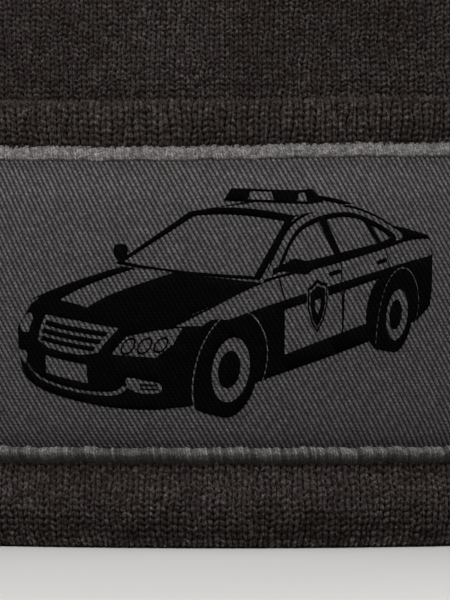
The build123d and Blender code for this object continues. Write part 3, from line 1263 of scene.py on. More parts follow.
@dataclass
class Crown(GoredLayer):
    """Outer layer of the crown, in one piece for each gore."""

    fine_columns: int = 30
    fine_top: float = 108.0 * MM

    def panels(self, cloth: CrownCloth, name: str) -> list[KnitPanel]:
        """Divide a gore into blocks, with a fine one above the patch on each front gore.

        Args:
            cloth: The gore's cloth.
            name: The gore's name.

        Returns:
            The blocks, which share their edges.
        """
        half, rows, keep = cloth.half_columns, cloth.rows, cloth.inside
        if not name.startswith("front"):
            return [KnitPanel(cloth, (-half, half), (0, rows), Detail.ROWS, keep)]
        low, high = (0, cloth.row_at(self.fine_top)), (cloth.row_at(self.fine_top), rows)
        side = -1 if name == "front_right" else 1
        split = side * (half - self.fine_columns)
        near, far = sorted((side * half, split)), sorted((split, -side * half))
        return [
            KnitPanel(cloth, tuple(near), low, Detail.FINE, keep, (split, low[1])),
            KnitPanel(cloth, tuple(far), low, Detail.ROWS, keep),
            KnitPanel(cloth, (-half, half), high, Detail.ROWS, keep),
        ]

    def build(self) -> list[Piece]:
        """Knit the four gores."""
        material = self.finish.material()
        pieces = []
        for quarter, name in enumerate(("front_right", "back_right", "back_left", "front_left")):
            skin = Skin()
            for panel in self.panels(self.gore(quarter), name):
                panel.knit(skin)
            piece = skin.piece("crown_knit_" + name, material)
            nodes = ("crown_wall", "crown_outer", "crown_gore_" + name)
            pieces.append(dress(piece, nodes))
        join_normals(pieces)
        return pieces


@dataclass
class Lining(GoredLayer):
    """Inner layer of the crown, seen from below, with its ribs of knitting."""

    lap: float = 0.4 * MM

    def build(self) -> Piece:
        """Knit the lining as one piece."""
        skin = Skin()
        for quarter in range(4):
            cloth = self.gore(quarter, pucker=0.0, lap=self.lap, inside_out=True)
            whole = (-cloth.half_columns, cloth.half_columns)
            KnitPanel(cloth, whole, (0, cloth.rows), Detail.RIB, cloth.inside).knit(skin)
            skin.bake_map[-1] = skin.bake_map[-1] + (quarter * self.plan.quarter, 0.0)
        piece = skin.piece("crown_lining_knit", self.finish.material())
        return dress(piece, ("crown_lining",))


def tube(path: Array, radius: Array | float, sides: int, skin: Skin, pitch: float) -> None:
    """Add a round cord along a path to a skin.

    Args:
        path: Points along the cord's middle.
        radius: Its radius, one value or one for each point.
        sides: Number of sides.
        skin: The piece that the cord becomes part of.
        pitch: Length of the cord that the knit map's second coordinate counts.
    """
    along = unit(np.gradient(path, axis=0))
    first = unit(np.cross(along, (0.3, 0.5, 1.0)))
    second = np.cross(along, first)
    angle = np.linspace(0.0, 2.0 * math.pi, sides + 1)
    radius = np.broadcast_to(radius, len(path))[:, None, None]
    ring = np.cos(angle)[None, :, None] * first[:, None] + np.sin(angle)[None, :, None] * (
        second[:, None]
    )
    places = path[:, None] + radius * ring
    around = np.broadcast_to(angle / (2.0 * math.pi), places.shape[:2])
    length = np.broadcast_to(walked(path)[:, None], places.shape[:2])
    width = float(radius.max()) * 2.0 * math.pi
    bake = pairs(around * width, length)
    if skin.bake_map:
        bake = bake + (max(part[:, 0].max() for part in skin.bake_map) + 0.3 * MM, 0.0)
    faces = grid_faces(*places.shape[:2], flip=True)
    skin.add(places, faces, pairs(around * 0.5, length / pitch), bake)


@dataclass
class CrownSeams:
    """Four linked dart seams and the gathered knot at the crown's top."""

    crown: Crown
    finish: YarnFinish
    dart_start: float
    strand: float = 0.62 * MM
    sides: int = 6
    pitch: float = 3.4 * MM
    ply_pitch: float = 1.6 * MM
    spread: float = 0.75 * MM
    raised: tuple[float, float] = (0.35 * MM, 0.4 * MM)
    sunk_start: tuple[float, float] = (1.3 * MM, 9.0 * MM)
    taper: float = 3.0 * MM
    knot_radius: float = 6.4 * MM
    knot_height: float = 2.6 * MM
    knot_dimple: float = 1.1 * MM
    knot_rim: float = 0.9 * MM
    knot_fold: float = 0.42 * MM
    knot_folds: int = 14

    def seam_path(self, quarter: int) -> tuple[Array, Array, Array]:
        """Return points up one seam, with the directions across it and out of it."""
        cloth = self.crown.gore(quarter)
        first = cloth.row_at(self.dart_start) - 3
        course = np.arange(first, cloth.rows + 0.001, 0.34)
        wale = -cloth.seam_wale(course)
        points = cloth.surface(wale, course)
        out = cloth.normals(wale, course)
        return points, unit(np.cross(np.gradient(points, axis=0), out)), out

    def build_seams(self) -> list[Piece]:
        """Lay the two crossing strands of each seam."""
        material = self.finish.material()
        pieces = []
        for quarter, name in enumerate(("front", "right", "back", "left")):
            points, across, out = self.seam_path(quarter)
            length = walked(points)
            turn = 2.0 * math.pi * length / self.pitch
            sunk = self.sunk_start[0] * (1.0 - smooth_step(0.0, self.sunk_start[1], length))
            radius = self.strand * (0.5 + 0.5 * smooth_step(0.0, self.taper, length))
            skin = Skin()
            for phase in (0.0, math.pi):
                side = self.spread * np.sin(turn + phase)
                lift = self.raised[0] + self.raised[1] * np.cos(2.0 * turn + phase) - sunk
                path = points + across * side[:, None] + out * lift[:, None]
                tube(path, radius, self.sides, skin, self.ply_pitch)
            piece = skin.piece("crown_seam_thread_" + name, material)
            pieces.append(dress(piece, ("crown_seam_" + name,)))
        return pieces

    def build_knot(self, name: str, peak: float, upwards: float, node: str) -> Piece:
        """Gather a small round knot with folds that run in to its middle.

        Args:
            name: Name of the piece.
            peak: Height of its rim above the floor.
            upwards: 1 where it rises, -1 where it hangs.
            node: The node that it stands for.

        Returns:
            The dressed knot.
        """
        rings, steps = 12, 6 * self.knot_folds
        share, angle = np.meshgrid(
            np.linspace(0.0, 1.0, rings), np.linspace(0.0, 2.0 * math.pi, steps + 1), indexing="ij"
        )
        fold = np.cos(self.knot_folds * angle + 3.0 * share)
        swirl = angle + 0.5 * (1.0 - share)
        lift = self.knot_height * np.sqrt(np.clip(1.0 - share**2.6, 0.0, 1.0))
        lift = lift - self.knot_dimple * bell(share, 0.22) - self.knot_rim * share**4
        lift = lift + self.knot_fold * fold * np.sin(math.pi * np.clip(share, 0.0, 1.0)) ** 0.7
        reach = self.knot_radius * share
        x, y = reach * np.cos(swirl) * 1.08, reach * np.sin(swirl) * 0.94
        skin = Skin()
        skin.add(
            np.stack([x, y, peak + upwards * lift], axis=-1),
            grid_faces(rings, steps + 1, flip=upwards > 0.0),
            pairs(angle * self.knot_folds / (4.0 * math.pi), share * 4.0),
            reach[..., None] * pairs(np.cos(angle), np.sin(angle)),
        )
        piece = skin.piece(name, self.finish.material())
        return dress(piece, (node,))


@dataclass
class TwillPanel:
    """Ground of the patch: a steep diagonal twill, with real ribs."""

    patch: PatchPlace
    finish: TwillFinish
    out: float
    across_rib: float = 0.96 * MM
    up_rib: float = 1.73 * MM
    thread: float = 0.577 * MM
    relief: float = 0.15 * MM
    under_edge: float = 1.3 * MM
    cut_inside: float = 0.4 * MM
    backing_out: float = 0.45 * MM
    backing_steps: tuple[int, int] = (96, 50)
    top_painted_light: float = 0.22
    top_light_from: tuple[float, float] = (0.62, 0.80)
    edge_painted_shade: float = 0.18
    edge_shadow_from: tuple[float, float] = (0.87, 0.94)
    steps: int = 4

    @property
    def lean(self) -> float:
        """How far a rib leans sideways for each step up."""
        return self.across_rib / self.up_rib

    @property
    def half_size(self) -> tuple[float, float]:
        """Half the width and half the height of the cloth, out to under its edge."""
        return (
            self.patch.width / 2.0 - self.under_edge,
            self.patch.height / 2.0 - self.under_edge,
        )

    def inside(self, u: Array, v: Array, faces: Array) -> Array:
        """Return which faces lie inside the patch's outline."""
        return self.patch.beyond(u, v).ravel()[faces].max(axis=1) < -self.cut_inside

    def height(self, rib: Array) -> Array:
        """Return the ribs' height, 1 at the top of a rib and 0 between two."""
        return np.abs(np.sin(math.pi * rib)) ** 0.8

    def build(self) -> Piece:
        """Weave the panel as one sheet, cut a little inside the patch's outline."""
        half_u, half_v = self.half_size
        rows = round(2.0 * half_v / (self.up_rib / 2.0))
        count = math.ceil((half_u + half_v * self.lean) / self.across_rib)
        rib = np.arange(-count * self.steps, count * self.steps + 1) / self.steps
        rib, v = np.meshgrid(rib, np.linspace(-half_v, half_v, rows + 1))
        u = np.clip(rib * self.across_rib - v * self.lean, -half_u, half_u)
        out = self.out + self.relief * (self.height(rib) - 0.5) - self.patch.dip(u, v)
        faces = grid_faces(*rib.shape)
        width = np.ptp(u.ravel()[faces], axis=1)
        faces = faces[self.inside(u, v, faces) & (width > 1e-6)]
        # Painted light on the upper part of the twill, which the lamp above lights most.
        painted_top_light = self.top_painted_light * smooth_step(*self.top_light_from, v / half_v)
        # Painted shadow under the upper wrapped edge.
        painted_dark = self.edge_painted_shade * smooth_step(*self.edge_shadow_from, v / half_v)
        skin = Skin()
        skin.add(
            self.patch.place(u, v, out),
            faces,
            pairs(rib, v / self.thread),
            pairs(u, v),
            1.0 + painted_top_light - painted_dark,
        )
        piece = skin.piece("patch_twill_cloth", self.finish.material())
        return dress(piece, ("patch_twill",))

    def build_backing(self, finish: YarnFinish) -> Piece:
        """Lay the interlining between the cuff and the twill."""
        steps = zip(self.half_size, self.backing_steps)
        u, v = np.meshgrid(*(np.linspace(-half, half, count) for half, count in steps))
        places = self.patch.place(u, v, self.backing_out - 0.5 * self.patch.dip(u, v))
        faces = grid_faces(*u.shape)
        bake = pairs(u, v)
        skin = Skin()
        skin.add(places, faces[self.inside(u, v, faces)], bake / MM, bake)
        piece = skin.piece("patch_backing_felt", finish.material())
        return dress(piece, ("patch_backing",))


def closed(ring: Array) -> Array:
    """Repeat the first row of a ring after its last."""
    return np.concatenate([ring, ring[:1]])


@dataclass
class WrappedEdge:
    """Overlocked edge of the patch: thread wound side by side over a bead.

    The upper run stands lower, fuller and calmer than the sides, and the lower run is
    slimmer in its light, with painted shade on its outer, downward side.
    """

    patch: PatchPlace
    finish: ThreadFinish
    width: float
    proud: float
    twill_out: float
    pitch: float = 0.5 * MM
    groove: float = 0.14 * MM
    slant: float = 1.7
    crest: float = -0.42
    overhang: float = 0.15 * MM
    bedded: float = 0.12 * MM
    outer_foot: float = -0.15 * MM
    upper_foot: float = 0.62 * MM
    inner_depth: float = 1.6 * MM
    waver: tuple[float, float] = (0.10 * MM, 0.07 * MM)
    upper_drop: float = 0.5 * MM
    lower_drop: float = 0.3 * MM
    lower_painted_shade: float = 0.5
    painted_shade_least: float = 0.78
    painted_shade_rise: float = 0.97
    upper_outer_dimming: float = 0.28
    upper_calm: float = 0.7
    upper_contrast: float = 0.30
    lower_contrast: float = 0.95
    fullness: float = 1.45
    upper_fullness: float = 1.3
    upper_slimness: float = -0.44
    upper_spread: float = 0.25
    lower_spread: float = 0.14
    ragged: tuple[float, float] = (0.08, 0.02)
    steps: int = 4
    sections: int = 12

    def bead(self, angle: Array, upper: Array, lower: Array) -> tuple[Array, Array]:
        """Shape the bead that the thread is wound over.

        Args:
            angle: Places over the bead, from its outer foot to its inner one.
            upper: 1 along the patch's upper run, else 0.
            lower: 1 along its lower run, else 0.

        Returns:
            How far the bead stands out at each place, and its share of a full arch.
        """
        side = np.cos(angle)
        outer = np.clip((side - self.crest) / (1.0 - self.crest), 0.0, 1.0)
        inner = np.clip((self.crest - side) / (1.0 + self.crest), 0.0, 1.0)
        outer_arch = 1.0 - outer[None] ** (self.fullness + self.upper_fullness * upper)
        arch = np.where((side > self.crest)[None], outer_arch, np.sqrt(1.0 - inner**2)[None])
        outer_foot = self.outer_foot + self.upper_foot * upper
        inner_foot = self.twill_out - self.inner_depth
        foot = np.where((side < self.crest)[None], inner_foot, outer_foot)
        proud = self.proud - self.bedded - self.upper_drop * upper - self.lower_drop * lower
        return foot + (proud - foot) * arch, arch

    def tones(
        self, angle: Array, upper: Array, lower: Array, ridge: Array, luck: Array
    ) -> Array:
        """Tone the thread, with painted shade below and in the grooves where its windings part.

        Args:
            angle: Places over the bead.
            upper: 1 along the patch's upper run, else 0.
            lower: 1 along its lower run, else 0.
            ridge: Height of each winding, from its groove to its top.
            luck: A pseudo-random number from -1 to 1 for each winding.

        Returns:
            The share of the thread's tone at each place, closed to a ring.
        """
        # Painted shade on the lower run, darkest on its outer side, which faces down, away from
        # the lamp.
        painted_dark = self.painted_shade_least + self.painted_shade_rise * smooth_step(-0.35, 0.45, np.cos(angle))
        tone = 1.0 - self.lower_painted_shade * closed(lower) * painted_dark[None]
        # Darker on the upper run's outer side.
        outer_share = smooth_step(0.45, 0.95, np.cos(angle))[None]
        tone = tone - self.upper_outer_dimming * closed(upper) * outer_share
        # Streaks: painted shade in the grooves between windings, and random tone for each winding.
        contrast = self.upper_contrast + (self.lower_contrast - self.upper_contrast) * lower
        streaks = 1.0 + contrast * (ridge - 0.64 + 0.36 * luck) * (1.0 - 0.6 * upper * outer_share)
        return tone * closed(streaks)

    def build(self) -> Piece:
        """Wind the thread all round the patch."""
        _, _, _, _, length = self.patch.outline(self.width / 2.0, 8)
        count = round(length / self.pitch) * self.steps
        u, v, normal_u, normal_v, _ = self.patch.outline(self.width / 2.0, count)
        walk = 2.0 * math.pi * np.arange(count) / count
        angle = np.linspace(0.0, math.pi, self.sections + 1)
        side = np.cos(angle)
        winding = np.arange(count + 1)[:, None] / self.steps + self.slant * angle[None] / math.pi
        thread = winding[:-1]
        luck = np.sin(np.floor(thread) * 12.9898) * 43758.5453
        luck = 2.0 * (luck - np.floor(luck)) - 1.0
        ridge = np.abs(np.sin(math.pi * thread)) ** 0.7 * (1.0 + 0.6 * luck)
        uneven = self.waver[0] * np.sin(23.0 * walk) + self.waver[1] * np.sin(57.0 * walk + 1.0)
        upper = smooth_step(0.8, 1.0, normal_v)[:, None]
        lower = smooth_step(0.8, 1.0, -normal_v)[:, None]
        rise, arch = self.bead(angle, upper, lower)
        calm = 1.0 - self.upper_calm * upper * smooth_step(0.30, 0.90, side)[None]
        out = rise + self.groove * ridge * (0.15 + 0.85 * arch) * calm
        within = side < 0.0
        slim = 1.0 + upper * np.where(within, self.upper_slimness, self.upper_spread)[None]
        slim = slim + lower * np.where(within, self.lower_spread, 0.0)[None]
        ragged = np.where(within, *self.ragged)[None] * luck * calm
        reach = self.width / 2.0 + self.overhang
        side = reach * side[None] * slim * (1.0 + ragged) + uneven[:, None]
        along_u = u[:, None] + normal_u[:, None] * side
        along_v = v[:, None] + normal_v[:, None] * side
        places = closed(self.patch.place(along_u, along_v, out))
        shape = places.shape[:2]
        around = np.broadcast_to(angle[None], shape)
        bake_u = np.broadcast_to(np.arange(count + 1)[:, None] / count * length, shape)
        skin = Skin()
        skin.add(
            places,
            grid_faces(*shape, flip=True),
            pairs(winding, around / 0.6),
            pairs(bake_u, around / math.pi * self.width * 1.6),
            self.tones(angle, upper, lower, ridge, luck),
        )
        piece = skin.piece("patch_edge_thread", self.finish.material())
        return dress(piece, ("patch_border",))


class Ink(Enum):
    """Whether an area of the figure is printed or left as bare twill."""

    PRINTED = 1
    BARE = 0


def smooth_line(*points: Sequence[float], per: int = 5) -> Array:
    """Draw a smooth line through a few points.

    Args:
        points: The points, in order.
        per: Number of steps from one to the next.

    Returns:
        Points along the line, from the first given one to the last.
    """
    given = np.asarray(points, float)
    given = np.vstack([2.0 * given[0] - given[1], given, 2.0 * given[-1] - given[-2]])
    share = (np.arange(per) / per)[:, None]
    legs = []
    for a, b, c, d in zip(given, given[1:], given[2:], given[3:]):
        cubic = 3.0 * b - a - 3.0 * c + d
        bend = 2.0 * a - 5.0 * b + 4.0 * c - d
        legs.append(b + 0.5 * ((c - a) * share + bend * share**2 + cubic * share**3))
    return np.vstack([*legs, given[-2:-1]])


def divided(points: Outline, steps: int) -> Array:
    """Divide each side of a closed outline into steps."""
    given = np.asarray(points, float)
    share = (np.arange(steps) / steps)[None, :, None]
    ahead = np.roll(given, -1, axis=0)
    return (given[:, None] * (1.0 - share) + ahead[:, None] * share).reshape(-1, given.shape[1])


def mirrored(points: Outline) -> list[tuple[float, float]]:
    """Walk back along points of a front view on the car's other side."""
    return [(-y, z) for y, z in points[::-1]]


@dataclass
class PatrolCarFigure:
    """A patrol car of no make, drawn in one ink from its front left corner.

    It is laid out in metres: x forward from the middle of the wheelbase, y to its
    left and z up from the road. Later outlines cover earlier ones.
    """

    azimuth: float = math.radians(38.0)
    elevation: float = math.radians(11.0)
    distance: float = 9.0
    scale: float = 18.3 * MM
    tallness: float = 1.09
    aim: tuple[float, float, float] = (0.15, 0.0, 0.62)
    shift: tuple[float, float] = (2.7 * MM, -0.1 * MM)
    half_width: float = 0.93
    axle: float = 1.42
    tyre: float = 0.37
    areas: list[tuple[Ink, Array]] = field(default_factory=list)

    def paint(self, ink: Ink, points: Outline) -> None:
        """Project an outline onto the patch and add it to the areas.

        Args:
            ink: What the outline is filled with.
            points: Its corners on the car.
        """
        ahead = np.array([math.cos(self.azimuth), math.sin(self.azimuth), 0.0])
        toward = math.cos(self.elevation) * ahead + (0.0, 0.0, math.sin(self.elevation))
        right = np.array([-ahead[1], ahead[0], 0.0])
        up = np.cross(right, -toward)
        stood = np.asarray(points, float) * (1.0, 1.0, self.tallness)
        offset = stood - (np.array(self.aim) + self.distance * toward)
        size = self.scale * self.distance / (offset @ -toward)
        flat = np.stack([offset @ right, offset @ up], axis=-1) * size[:, None]
        self.areas.append((ink, flat + self.shift))

    def dark(self, points: Spots) -> None:
        """Print an outline."""
        self.paint(Ink.PRINTED, points)

    def bare(self, points: Spots) -> None:
        """Leave an outline bare."""
        self.paint(Ink.BARE, points)

    def flank(self, points: Outline) -> Spots:
        """Lay points of the side view on the car's left flank."""
        laid = []
        for x, z in points:
            low = max(0.0, (0.55 - z) / 0.35)
            high = max(0.0, (z - 0.80) / 0.25)
            nose = max(0.0, (x - 1.65) / 0.65)
            tail = max(0.0, (-x - 1.95) / 0.5)
            lean = 0.04 * low**2 + 0.05 * high**2 + 0.20 * nose**2 + 0.12 * tail**2
            laid.append((x, self.half_width - lean, z))
        return laid

    def cabin(self, points: Outline) -> Spots:
        """Lay points of the side view on the cabin's side, which leans in to the roof."""
        return [(x, 0.88 - (z - 1.0) / 0.43 * 0.25, z) for x, z in points]

    def front(self, points: Outline) -> Spots:
        """Lay points of the front view on the nose, bowed in plan and raked on top."""
        laid = []
        for y, z in points:
            bow = 0.24 * (abs(y) / 0.9) ** 2.2
            rake = 0.22 * max(0.0, (z - 0.58) / 0.24) ** 1.5 + 0.25 * max(0.0, 0.38 - z)
            laid.append((2.42 - bow - rake, y, z))
        return laid

    def hood(self, points: Outline) -> Spots:
        """Lay points of the plan on the hood, which rises to the windscreen."""
        return [
            (x, y, 0.83 + 0.20 * (max(0.0, 2.20 - x) / 1.3) ** 0.62 - 0.09 * y * y)
            for x, y in points
        ]

    def crosswise(
        self, x: float, bow: float, half: float, z: float, crown: float, steps: int = 8
    ) -> Spots:
        """Draw a line across the car from right to left.

        Args:
            x: How far forward its ends are.
            bow: How much farther forward its middle is.
            half: Half its length.
            z: Height of its ends.
            crown: How much higher its middle is.
            steps: Number of steps.

        Returns:
            Points along the line.
        """
        line = []
        for y in np.linspace(-half, half, steps + 1):
            full = 1.0 - (y / half) ** 2
            line.append((x + bow * full, float(y), z + crown * full))
        return line

    def rounded(self, points: Outline, per: int = 4) -> list[tuple[float, ...]]:
        """Draw a smooth closed line through a few points of a side or front view."""
        ring = [*points[-1:], *points, *points[:2]]
        line = smooth_line(*ring, per=per)
        return [tuple(place) for place in line[per : -per - 1]]

    def draw_body(self) -> None:
        """Print the body's dark outline: flank, nose, hood, boot and cabin."""
        far_mirror = ((-0.88, 1.01), (-1.00, 1.01), (-1.05, 1.07), (-1.02, 1.14), (-0.86, 1.14))
        self.dark([(0.82, y, z) for y, z in self.rounded(far_mirror)])
        upper = smooth_line(
            (2.16, 0.20), (2.26, 0.38), (2.27, 0.60), (2.16, 0.78), (1.8, 0.88),
            (0.95, 0.99), (0.0, 1.02), (-1.0, 1.05), (-1.8, 1.09), (-2.25, 1.07),
            (-2.40, 0.98), (-2.46, 0.78), (-2.44, 0.48), (-2.32, 0.32),
        )
        lower = smooth_line((-1.9, 0.24), (-0.5, 0.20), (1.0, 0.20), (1.9, 0.18))
        self.dark(self.flank([*upper, *lower]))
        bow = np.linspace(-0.86, 0.86, 17)
        nose = [(y, 0.80 - 0.03 * abs(y) ** 3) for y in bow]
        nose += [(0.88, z) for z in (0.6, 0.4, 0.26)]
        nose += [(y, 0.19 + 0.05 * abs(y) ** 4) for y in bow[::-1]]
        nose += [(-0.88, z) for z in (0.26, 0.4, 0.6)]
        self.dark(self.front(nose))
        edge = smooth_line((2.10, 0.82), (1.7, 0.86), (1.3, 0.865), (0.9, 0.86))
        far_edge = [(x, -y) for x, y in edge[::-1]]
        brow = [(2.20 - 0.2 * (abs(y) / 0.8) ** 2.2, y) for y in np.linspace(-0.80, 0.80, 11)]
        self.dark(self.hood([*brow, *edge, *far_edge]))
        lip = self.front([(y, 0.77) for y in bow])
        self.dark([*lip, *self.hood([(1.85, y) for y in bow[::-1]])])
        boot = [(-1.4, 0.84, 1.08), (-2.30, 0.78, 1.07), (-2.40, 0.4, 1.11), (-2.35, 0.0, 1.13)]
        self.dark([*boot, (-2.0, -0.3, 1.15), (-1.4, 0.1, 1.20)])
        rail = smooth_line(
            (1.00, 0.97), (0.62, 1.20), (0.24, 1.375), (-0.25, 1.455),
            (-0.80, 1.45), (-1.28, 1.33), (-1.72, 1.13), (-1.80, 1.06),
        )
        self.dark([*self.cabin(rail), (-1.0, 0.88, 1.0), (0.95, 0.9, 0.95)])
        screen_low = self.crosswise(0.98, 0.12, 0.86, 1.0, 0.0)
        header = self.crosswise(0.16, 0.06, 0.64, 1.41, 0.06)[::-1]
        self.dark([*header, *screen_low])
        back = self.crosswise(-0.95, 0.0, 0.62, 1.45, 0.072)
        self.dark([*header, *back, (-0.35, 0.65, 1.48)])

    def draw_cabin(self) -> None:
        """Leave the roof, the windscreen, the pillars and the side windows bare."""
        roof = self.crosswise(0.10, 0.06, 0.60, 1.42, 0.05)[::-1]
        self.bare([*roof, *self.crosswise(-0.88, 0.0, 0.58, 1.435, 0.05)])
        pillar = smooth_line(
            (0.96, 1.0), (0.60, 1.19), (0.23, 1.355), (-0.25, 1.435),
            (-0.80, 1.43), (-1.27, 1.31), (-1.70, 1.12),
        )
        self.bare([*self.cabin(pillar), (-1.62, 0.83, 1.08), (0.90, 0.87, 1.0)])
        screen = self.crosswise(0.19, 0.06, 0.555, 1.375, 0.04)[::-1]
        self.bare([*screen, *self.crosswise(0.95, 0.12, 0.775, 1.02, 0.0)])
        frame = smooth_line(
            (0.76, 1.03), (0.46, 1.20), (0.16, 1.325), (-0.25, 1.39),
            (-0.80, 1.385), (-1.22, 1.27), (-1.50, 1.13), (-1.46, 1.06),
        )
        self.dark(self.cabin([*frame, (0.0, 1.01)]))
        front_top = smooth_line((0.64, 1.065), (0.40, 1.20), (0.13, 1.30), (-0.20, 1.35))
        rear_top = smooth_line((-0.34, 1.355), (-0.62, 1.355), (-0.90, 1.32), (-1.0, 1.28))
        self.bare(self.cabin([*front_top, (-0.22, 1.07)]))
        self.bare(self.cabin([*rear_top, (-1.08, 1.085), (-0.34, 1.075)]))
        quarter = ((-1.10, 1.25), (-1.25, 1.19), (-1.39, 1.11), (-1.16, 1.09))
        self.bare(self.cabin(quarter))

    def draw_flank(self) -> None:
        """Leave the waist and the doors bare round a dark stripe with a plain shield."""
        waist = smooth_line(
            (2.05, 0.80), (1.7, 0.885), (0.95, 0.985), (0.0, 1.0), (-1.0, 1.03),
            (-1.75, 1.06), (-2.28, 1.02), (-2.40, 0.94),
        )
        under = smooth_line((-2.44, 0.86), (-1.7, 0.87), (-0.5, 0.845), (0.8, 0.81), (1.7, 0.76))
        self.bare(self.flank([*waist, *under]))
        front_top = [(0.72, 0.735), (-0.24, 0.76)]
        rear_top = [(-0.27, 0.762), (-0.98, 0.785)]
        arch = smooth_line((-1.02, 0.72), (-0.95, 0.56), (-0.92, 0.40))
        self.bare(self.flank([*front_top, (-0.24, 0.39), (0.70, 0.36)]))
        self.bare(self.flank([*rear_top, *arch, (-0.27, 0.39)]))
        for line in (
            ((0.78, 0.98), (0.755, 0.98), (0.70, 0.80), (0.72, 0.80)),
            ((-0.245, 1.0), (-0.265, 1.0), (-0.27, 0.39), (-0.25, 0.39)),
            ((-1.14, 1.04), (-1.155, 1.04), (-1.19, 0.86), (-1.17, 0.86)),
        ):
            self.dark(self.flank(line))
        for x in (-0.02, -0.93):
            handle = self.rounded(((x, 0.915), (x, 0.945), (x - 0.18, 0.95), (x - 0.18, 0.92)), 3)
            self.dark(self.flank(handle))
        shield = (
            (-0.46, 0.40), (-0.25, 0.44), (0.0, 0.52), (0.25, 0.44), (0.46, 0.40),
            (0.47, 0.02), (0.30, -0.30), (0.0, -0.54), (-0.30, -0.30), (-0.47, 0.02),
        )
        for ink, width, height in (
            (Ink.BARE, 0.38, 0.46),
            (Ink.PRINTED, 0.35, 0.43),
            (Ink.BARE, 0.30, 0.375),
            (Ink.PRINTED, 0.26, 0.33),
            (Ink.BARE, 0.10, 0.13),
        ):
            outline = [(0.20 + width * x, 0.69 + height * z) for x, z in shield]
            self.paint(ink, self.flank(outline))

    def draw_front(self) -> None:
        """Leave the hood's panel, lamps, grille, blank plate and vents bare."""
        panel = (
            (2.08, -0.42), (1.7, -0.50), (1.3, -0.53), (1.05, -0.52),
            (1.12, 0.02), (1.45, 0.00), (1.85, -0.02), (2.15, 0.0),
        )
        self.bare(self.hood(divided(panel, 4)))
        grille = ((0.0, 0.775), (0.44, 0.765), (0.36, 0.60), (0.20, 0.565), (0.0, 0.56))
        self.bare(self.front(divided((*grille, *mirrored(grille[1:-1])), 3)))
        for z, half in ((0.735, 0.375), (0.685, 0.355), (0.635, 0.325)):
            across = np.linspace(-half, half, 9)
            bar = [(y, z) for y in across] + [(y * 0.96, z - 0.03) for y in across[::-1]]
            self.dark(self.front(bar))
        near_lamp = ((0.48, 0.60), (0.54, 0.72), (0.72, 0.765), (0.90, 0.79), (0.90, 0.69))
        far_lamp = ((-0.57, 0.62), (-0.60, 0.71), (-0.70, 0.74), (-0.80, 0.72), (-0.84, 0.64))
        self.bare(self.front(divided((*near_lamp, (0.82, 0.60)), 3)))
        self.bare(self.front(divided((*far_lamp, (-0.76, 0.60)), 3)))
        turn = np.arange(16) * math.pi / 8.0
        for y, z, radius in ((0.59, 0.66, 0.052), (0.71, 0.67, 0.050), (0.82, 0.68, 0.046)):
            for ink, share in ((Ink.PRINTED, 1.0), (Ink.BARE, 0.76)):
                size = radius * share
                ring = [(y + size * math.cos(t), z + 1.1 * size * math.sin(t)) for t in turn]
                self.paint(ink, self.front(ring))
        plate = ((-0.25, 0.50), (0.25, 0.50), (0.25, 0.36), (-0.25, 0.36))
        self.bare(self.front(divided(plate, 3)))
        lower = ((-0.62, 0.38), (-0.50, 0.30), (-0.2, 0.27))
        upper = ((0.57, 0.38), (0.47, 0.325), (0.2, 0.295))
        lower, upper = (smooth_line(*half, *mirrored(half)) for half in (lower, upper))
        self.bare(self.front([*lower, *upper]))
        vent = ((0.60, 0.44), (0.62, 0.36), (0.72, 0.33), (0.84, 0.35), (0.85, 0.41), (0.74, 0.43))
        vent = self.rounded(vent)
        self.bare(self.front(vent))
        self.bare(self.front([(-y, z + 0.02) for y, z in vent]))
        for z in (0.395, 0.365):
            slit = ((0.70, z + 0.006), (0.83, z + 0.012), (0.83, z), (0.70, z - 0.006))
            self.dark(self.front(slit))

    def disc(self, x: float, y: float, radius: float, steps: int = 32) -> Spots:
        """Draw a circle that faces sideways, round a wheel's middle."""
        turn = np.arange(steps) * 2.0 * math.pi / steps
        return [(x + radius * math.cos(t), y, self.tyre + radius * math.sin(t)) for t in turn]

    def draw_wheels(self) -> None:
        """Print the tyres, with bare arch lips and rims and dark hubs."""
        for x in (self.axle, -self.axle):
            for y in (0.72, 0.76, 0.80, 0.84):
                self.dark(self.disc(x, y, self.tyre))
            turn = np.linspace(-0.45, math.pi + 0.45, 26)
            lip = [(x + 0.475 * math.cos(t), 0.36 + 0.475 * math.sin(t)) for t in turn]
            lip += [(x + 0.46 * math.cos(t), 0.36 + 0.46 * math.sin(t)) for t in turn[::-1]]
            self.bare(self.flank(lip))
            for ink, y, radius in (
                (Ink.PRINTED, 0.90, self.tyre),
                (Ink.BARE, 0.90, 0.25),
                (Ink.PRINTED, 0.88, 0.145),
            ):
                self.paint(ink, self.disc(x, y, radius))

    def draw_fittings(self) -> None:
        """Print the near mirror and the light bar on the roof."""
        housing = self.rounded(
            ((0.94, 1.05), (1.04, 1.035), (1.16, 1.04), (1.21, 1.09), (1.15, 1.14), (0.99, 1.14))
        )
        self.dark([(0.72, y, z) for y, z in housing])
        arm = ((0.95, 1.07), (0.80, 1.0), (0.80, 1.05), (0.97, 1.12))
        self.dark([(0.72, y, z) for y, z in arm])

        front, low, high, foot, top = -0.24, 1.49, 1.61, 0.52, 0.42
        face = [(front, -foot, low), (front, foot, low), (front, top, high), (front, -top, high)]
        end = [(front - 0.30, foot, low), (front - 0.24, top, high), (front, top, high)]
        self.dark(face)
        self.dark([(front, foot, low), *end])
        lens_low, lens_high = low + 0.025, high - 0.02
        for start, stop in ((-0.20, 0.12), (0.40, 0.52)):
            foot_line = ((start, lens_low), (stop, lens_low))
            top_line = ((stop - 0.03, lens_high), (start + 0.03, lens_high))
            self.bare([(front, y, z) for y, z in (*foot_line, *top_line)])

    def draw(self) -> list[tuple[Ink, Array]]:
        """Draw the whole figure and return its areas in the order of painting."""
        self.draw_body()
        self.draw_cabin()
        self.draw_flank()
        self.draw_front()
        self.draw_wheels()
        self.draw_fittings()
        return self.areas


